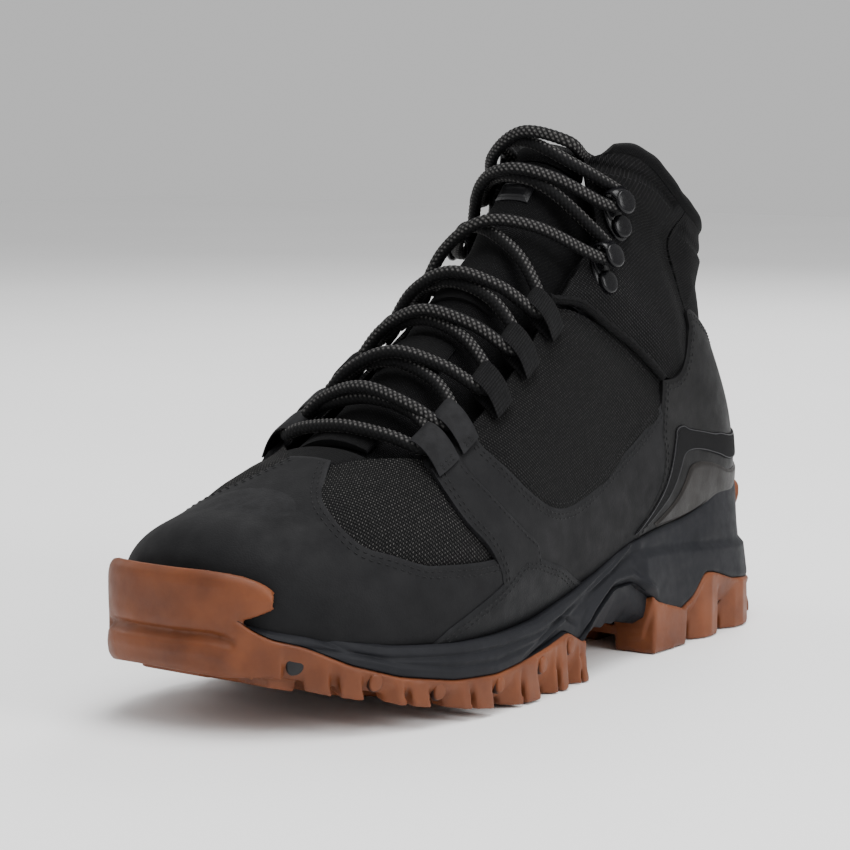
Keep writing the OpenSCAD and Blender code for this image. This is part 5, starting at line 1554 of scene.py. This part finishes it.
def midsole():
    i = np.arange(len(RING))
    y, edge, rim = RING_Y, RING_EDGE, RING_RIM
    under = blur(np.where(y < -10, spring(y) + 7.5, table_value(UNDER, y)), 4)
    floor = blur(np.where(y < -10, spring(y) + 7.5, table_value(MIDDLE_Z, y)), 4)
    lean, belly = blur(table_value(LEAN, y), 8), blur(table_value(BELLY, y), 8)
    rib = 0.9 * np.sin(y / 8 * 2 * math.pi) * ((y > 10) & (y < 50))
    rows = [inset(i, 26, floor + rib), inset(i, 18, floor + rib), inset(i, 9, floor + rib * 0.6)]
    rows += [inset(i, 4.4, under), inset(i, 3.6, np.minimum(edge - 1, under + 3)), inset(i, 3.2, edge - 0.1)]
    rows += [inset(i, 1.2, edge + 0.1)]
    steps = 34
    for k in range(steps + 1):
        share = k / steps
        z = edge + 0.35 + (rim - edge - 0.35) * share
        if share <= 0.5:
            ins = 0.55 * (1 - share * 2) + belly * share * 2
        else:
            ins = belly * (2 - share * 2) + lean * (share * 2 - 1)
        ins = ins + foam_relief(y, z, edge, rim)
        ins = ins + 0.9 * (max(0, share - 0.94) / 0.06) ** 2 + 0.5 * (max(0, 0.05 - share) / 0.05) ** 2
        rows.append(inset(i, ins, z))
    up = np.maximum(RING_UP, lean + 2.4)
    low = np.interp(y, [-135, -106, -60, -25, 15, 103, 133, 151], [36, 20, 16, 18, 22, 30, 36, 40]) - 1.5
    rows += [inset(i, lean + 1.7, rim + 0.25), inset(i, (lean + 1.7 + up) / 2, rim + 0.1)]
    rows += [inset(i, up + 0.6, rim - 0.4), inset(i, up + 2.2, rim - 3), inset(i, up + 5, (rim + low) / 2)]
    rows += [inset(i, up + 11, low), inset(i, 29, low)]
    verts, faces = stack_solid(rows)
    places = np.stack([verts[:, 1], verts[:, 2], 0 * verts[:, 0]], -1)
    build("midsole_foam", place(verts), faces, EVA, "midsole_foam", replaces=("midsole",), places=places,
          sharp=55)


midsole()


# ---------------------------------------------------------------- stitching
def on_piece(name, points, normals):
    """Puts a row of points onto the outer face of a piece."""
    mesh = bpy.data.objects[name].data
    tree = BVHTree.FromPolygons([v.co for v in mesh.vertices], [tuple(p.vertices) for p in mesh.polygons])
    out, out_n = [], []
    for p, n in zip(place(points), normals):
        hit, face_n, _, _ = tree.find_nearest(Vector(p), 0.006)
        start = Vector(p) + Vector(n) * 0.006
        ray, ray_n, _, _ = tree.ray_cast(start, -Vector(n), 0.012)
        if ray is not None:
            hit, face_n = ray, ray_n
        if hit is None:
            continue
        face_n = Vector(face_n)
        if face_n.dot(Vector(n)) < 0:
            face_n = -face_n
        out.append(np.array(hit) * 1000 + MIDDLE_OF_DRAWING)
        out_n.append(np.array(face_n))
    return np.array(out), np.array(out_n)


def seam(piece, line, shifts, o, pair=True, cut=(0.0, 1.0)):
    """Rows of stitches beside a seam line, on a piece of each side or on one piece for both."""
    rows = []
    for side, word in SIDES:
        name = f"{piece}_{word}" if pair else piece
        for shift in shifts:
            points, normals = row_beside(line, shift, o, side)
            a, b = int(cut[0] * len(points)), int(cut[1] * len(points))
            points, normals = on_piece(name, points[a:b], normals[a:b])
            if len(points) > 8:
                rows.append((points, normals))
    return rows


leather_rows = (
    seam("vamp_leather", WINDOW, (1.9, 3.7), 0.9, pair=False)
    + seam("strap_panel", STRAP_F, (-1.6, -3.2), 1.3) + seam("strap_panel", STRAP_R, (1.3,), 1.3)
    + seam("leather_loop", [[5.88, 0.247], [6.03, 0.247], [6.18, 0.247]], (0.0, 1.3), 3.0)
    + seam("leather_loop", [[6.33, 0.247], [6.45, 0.247], [6.56, 0.247]], (0.0, 1.3), 3.0)
    + seam("foxing_panel", FOX_R, (1.8, 3.4), 0.9)
    + seam("wing_panel", WING_T, (2.0, 3.6), 1.5, cut=(0.05, 0.95))
    + seam("counter_leather", CNT_FRONT, (1.8, 3.4), 1.1, pair=False)
    + seam("counter_leather", CNT_TOP, (1.8, 3.4), 1.1, pair=False)
)
stitches("stitching_leather", leather_rows, 2.7, 2.1, 0.27)
cloth_rows = (
    seam("collar_panel", COLLAR_SEAM, (2.3,), 0.5)
    + seam("collar_back_cloth", BACK_SEAM[:4], (2.2,), 0.5, pair=False)
    + seam("quarter_panel", PIPE_UV, (2.6, 4.2), 0.0, cut=(0.05, 0.9))
    + seam("quarter_panel", FOX_R, (-1.6,), -0.5, cut=(0.15, 0.95))
    + seam("collar_panel", PIPE_UV, (-2.4,), 0.0, cut=(0.1, 0.95))
)
stitches("stitching_cloth", cloth_rows, 2.4, 1.8, 0.22)


def edge_lines():
    """Fine raised lines along both edges of the heel band overlay, coloured lighter than the band as a painted
    highlight of its edges.
    """
    radius = 0.17
    parts = []
    for line, shift in ((TRIM_OUT, 0.5), (TRIM_IN, -0.5)):
        for side in (1, -1):
            points, normals = row_beside(line, shift, 2.1, side, 0.8)
            points, normals = on_piece("heel_trim_band", points, normals)
            points = points - normals * 0.02
            _, x, y = turning_frames(points)
            verts = [
                p + radius * (math.cos(q) * a + math.sin(q) * b)
                for p, a, b in zip(points, x, y) for q in round_angles(6)
            ]
            parts.append((verts, tube_faces(len(points), 6)))
    build("painted_edge_highlight_lines", *joined(parts), PAINTED_EDGE_HIGHLIGHT, "webbing", sharp=0)


edge_lines()


# ---------------------------------------------------------------- studio
def studio():
    """Plain pale floor under soft white light, as on a product table."""
    floor = Finish("floor_paper", 0.75, 0.3)
    floor.colour(floor.mix(floor.ramp(floor.noise(3.0, 2), 0.3, 0.7), (0.93, 0.93, 0.93), (0.96, 0.96, 0.96)))
    mesh = bpy.data.meshes.new("floor")
    mesh.from_pydata([(-3, -3, 0), (3, -3, 0), (3, 3, 0), (-3, 3, 0)], [], [(0, 1, 2, 3)])
    mesh.materials.append(floor.material)
    ground = bpy.data.objects.new("floor", mesh)
    bpy.context.collection.objects.link(ground)
    ground.location = (0, 0, -0.0004)
    world = bpy.data.worlds.new("studio")
    world.use_nodes = True
    world.node_tree.nodes["Background"].inputs["Color"].default_value = (1, 1, 1, 1)
    world.node_tree.nodes["Background"].inputs["Strength"].default_value = 0.62
    bpy.context.scene.world = world
    lights = [
        ("key", (0.6, -0.5, 1.5), 1.2, 16), ("side", (1.5, 0.1, 0.8), 0.9, 16),
        ("back", (-0.6, 1.4, 1.1), 0.9, 12), ("top", (0.2, 0.1, 1.6), 0.8, 14),
        ("left", (-1.5, -0.3, 0.7), 0.9, 5),
    ]
    for name, position, size, power in lights:
        lamp = bpy.data.lights.new(name, "AREA")
        lamp.shape = "DISK"
        lamp.size = size
        lamp.energy = power
        obj = bpy.data.objects.new(name, lamp)
        bpy.context.collection.objects.link(obj)
        obj.location = position
        obj.rotation_euler = (Vector((0, 0, 0.08)) - Vector(position)).to_track_quat("-Z", "Y").to_euler()


studio()
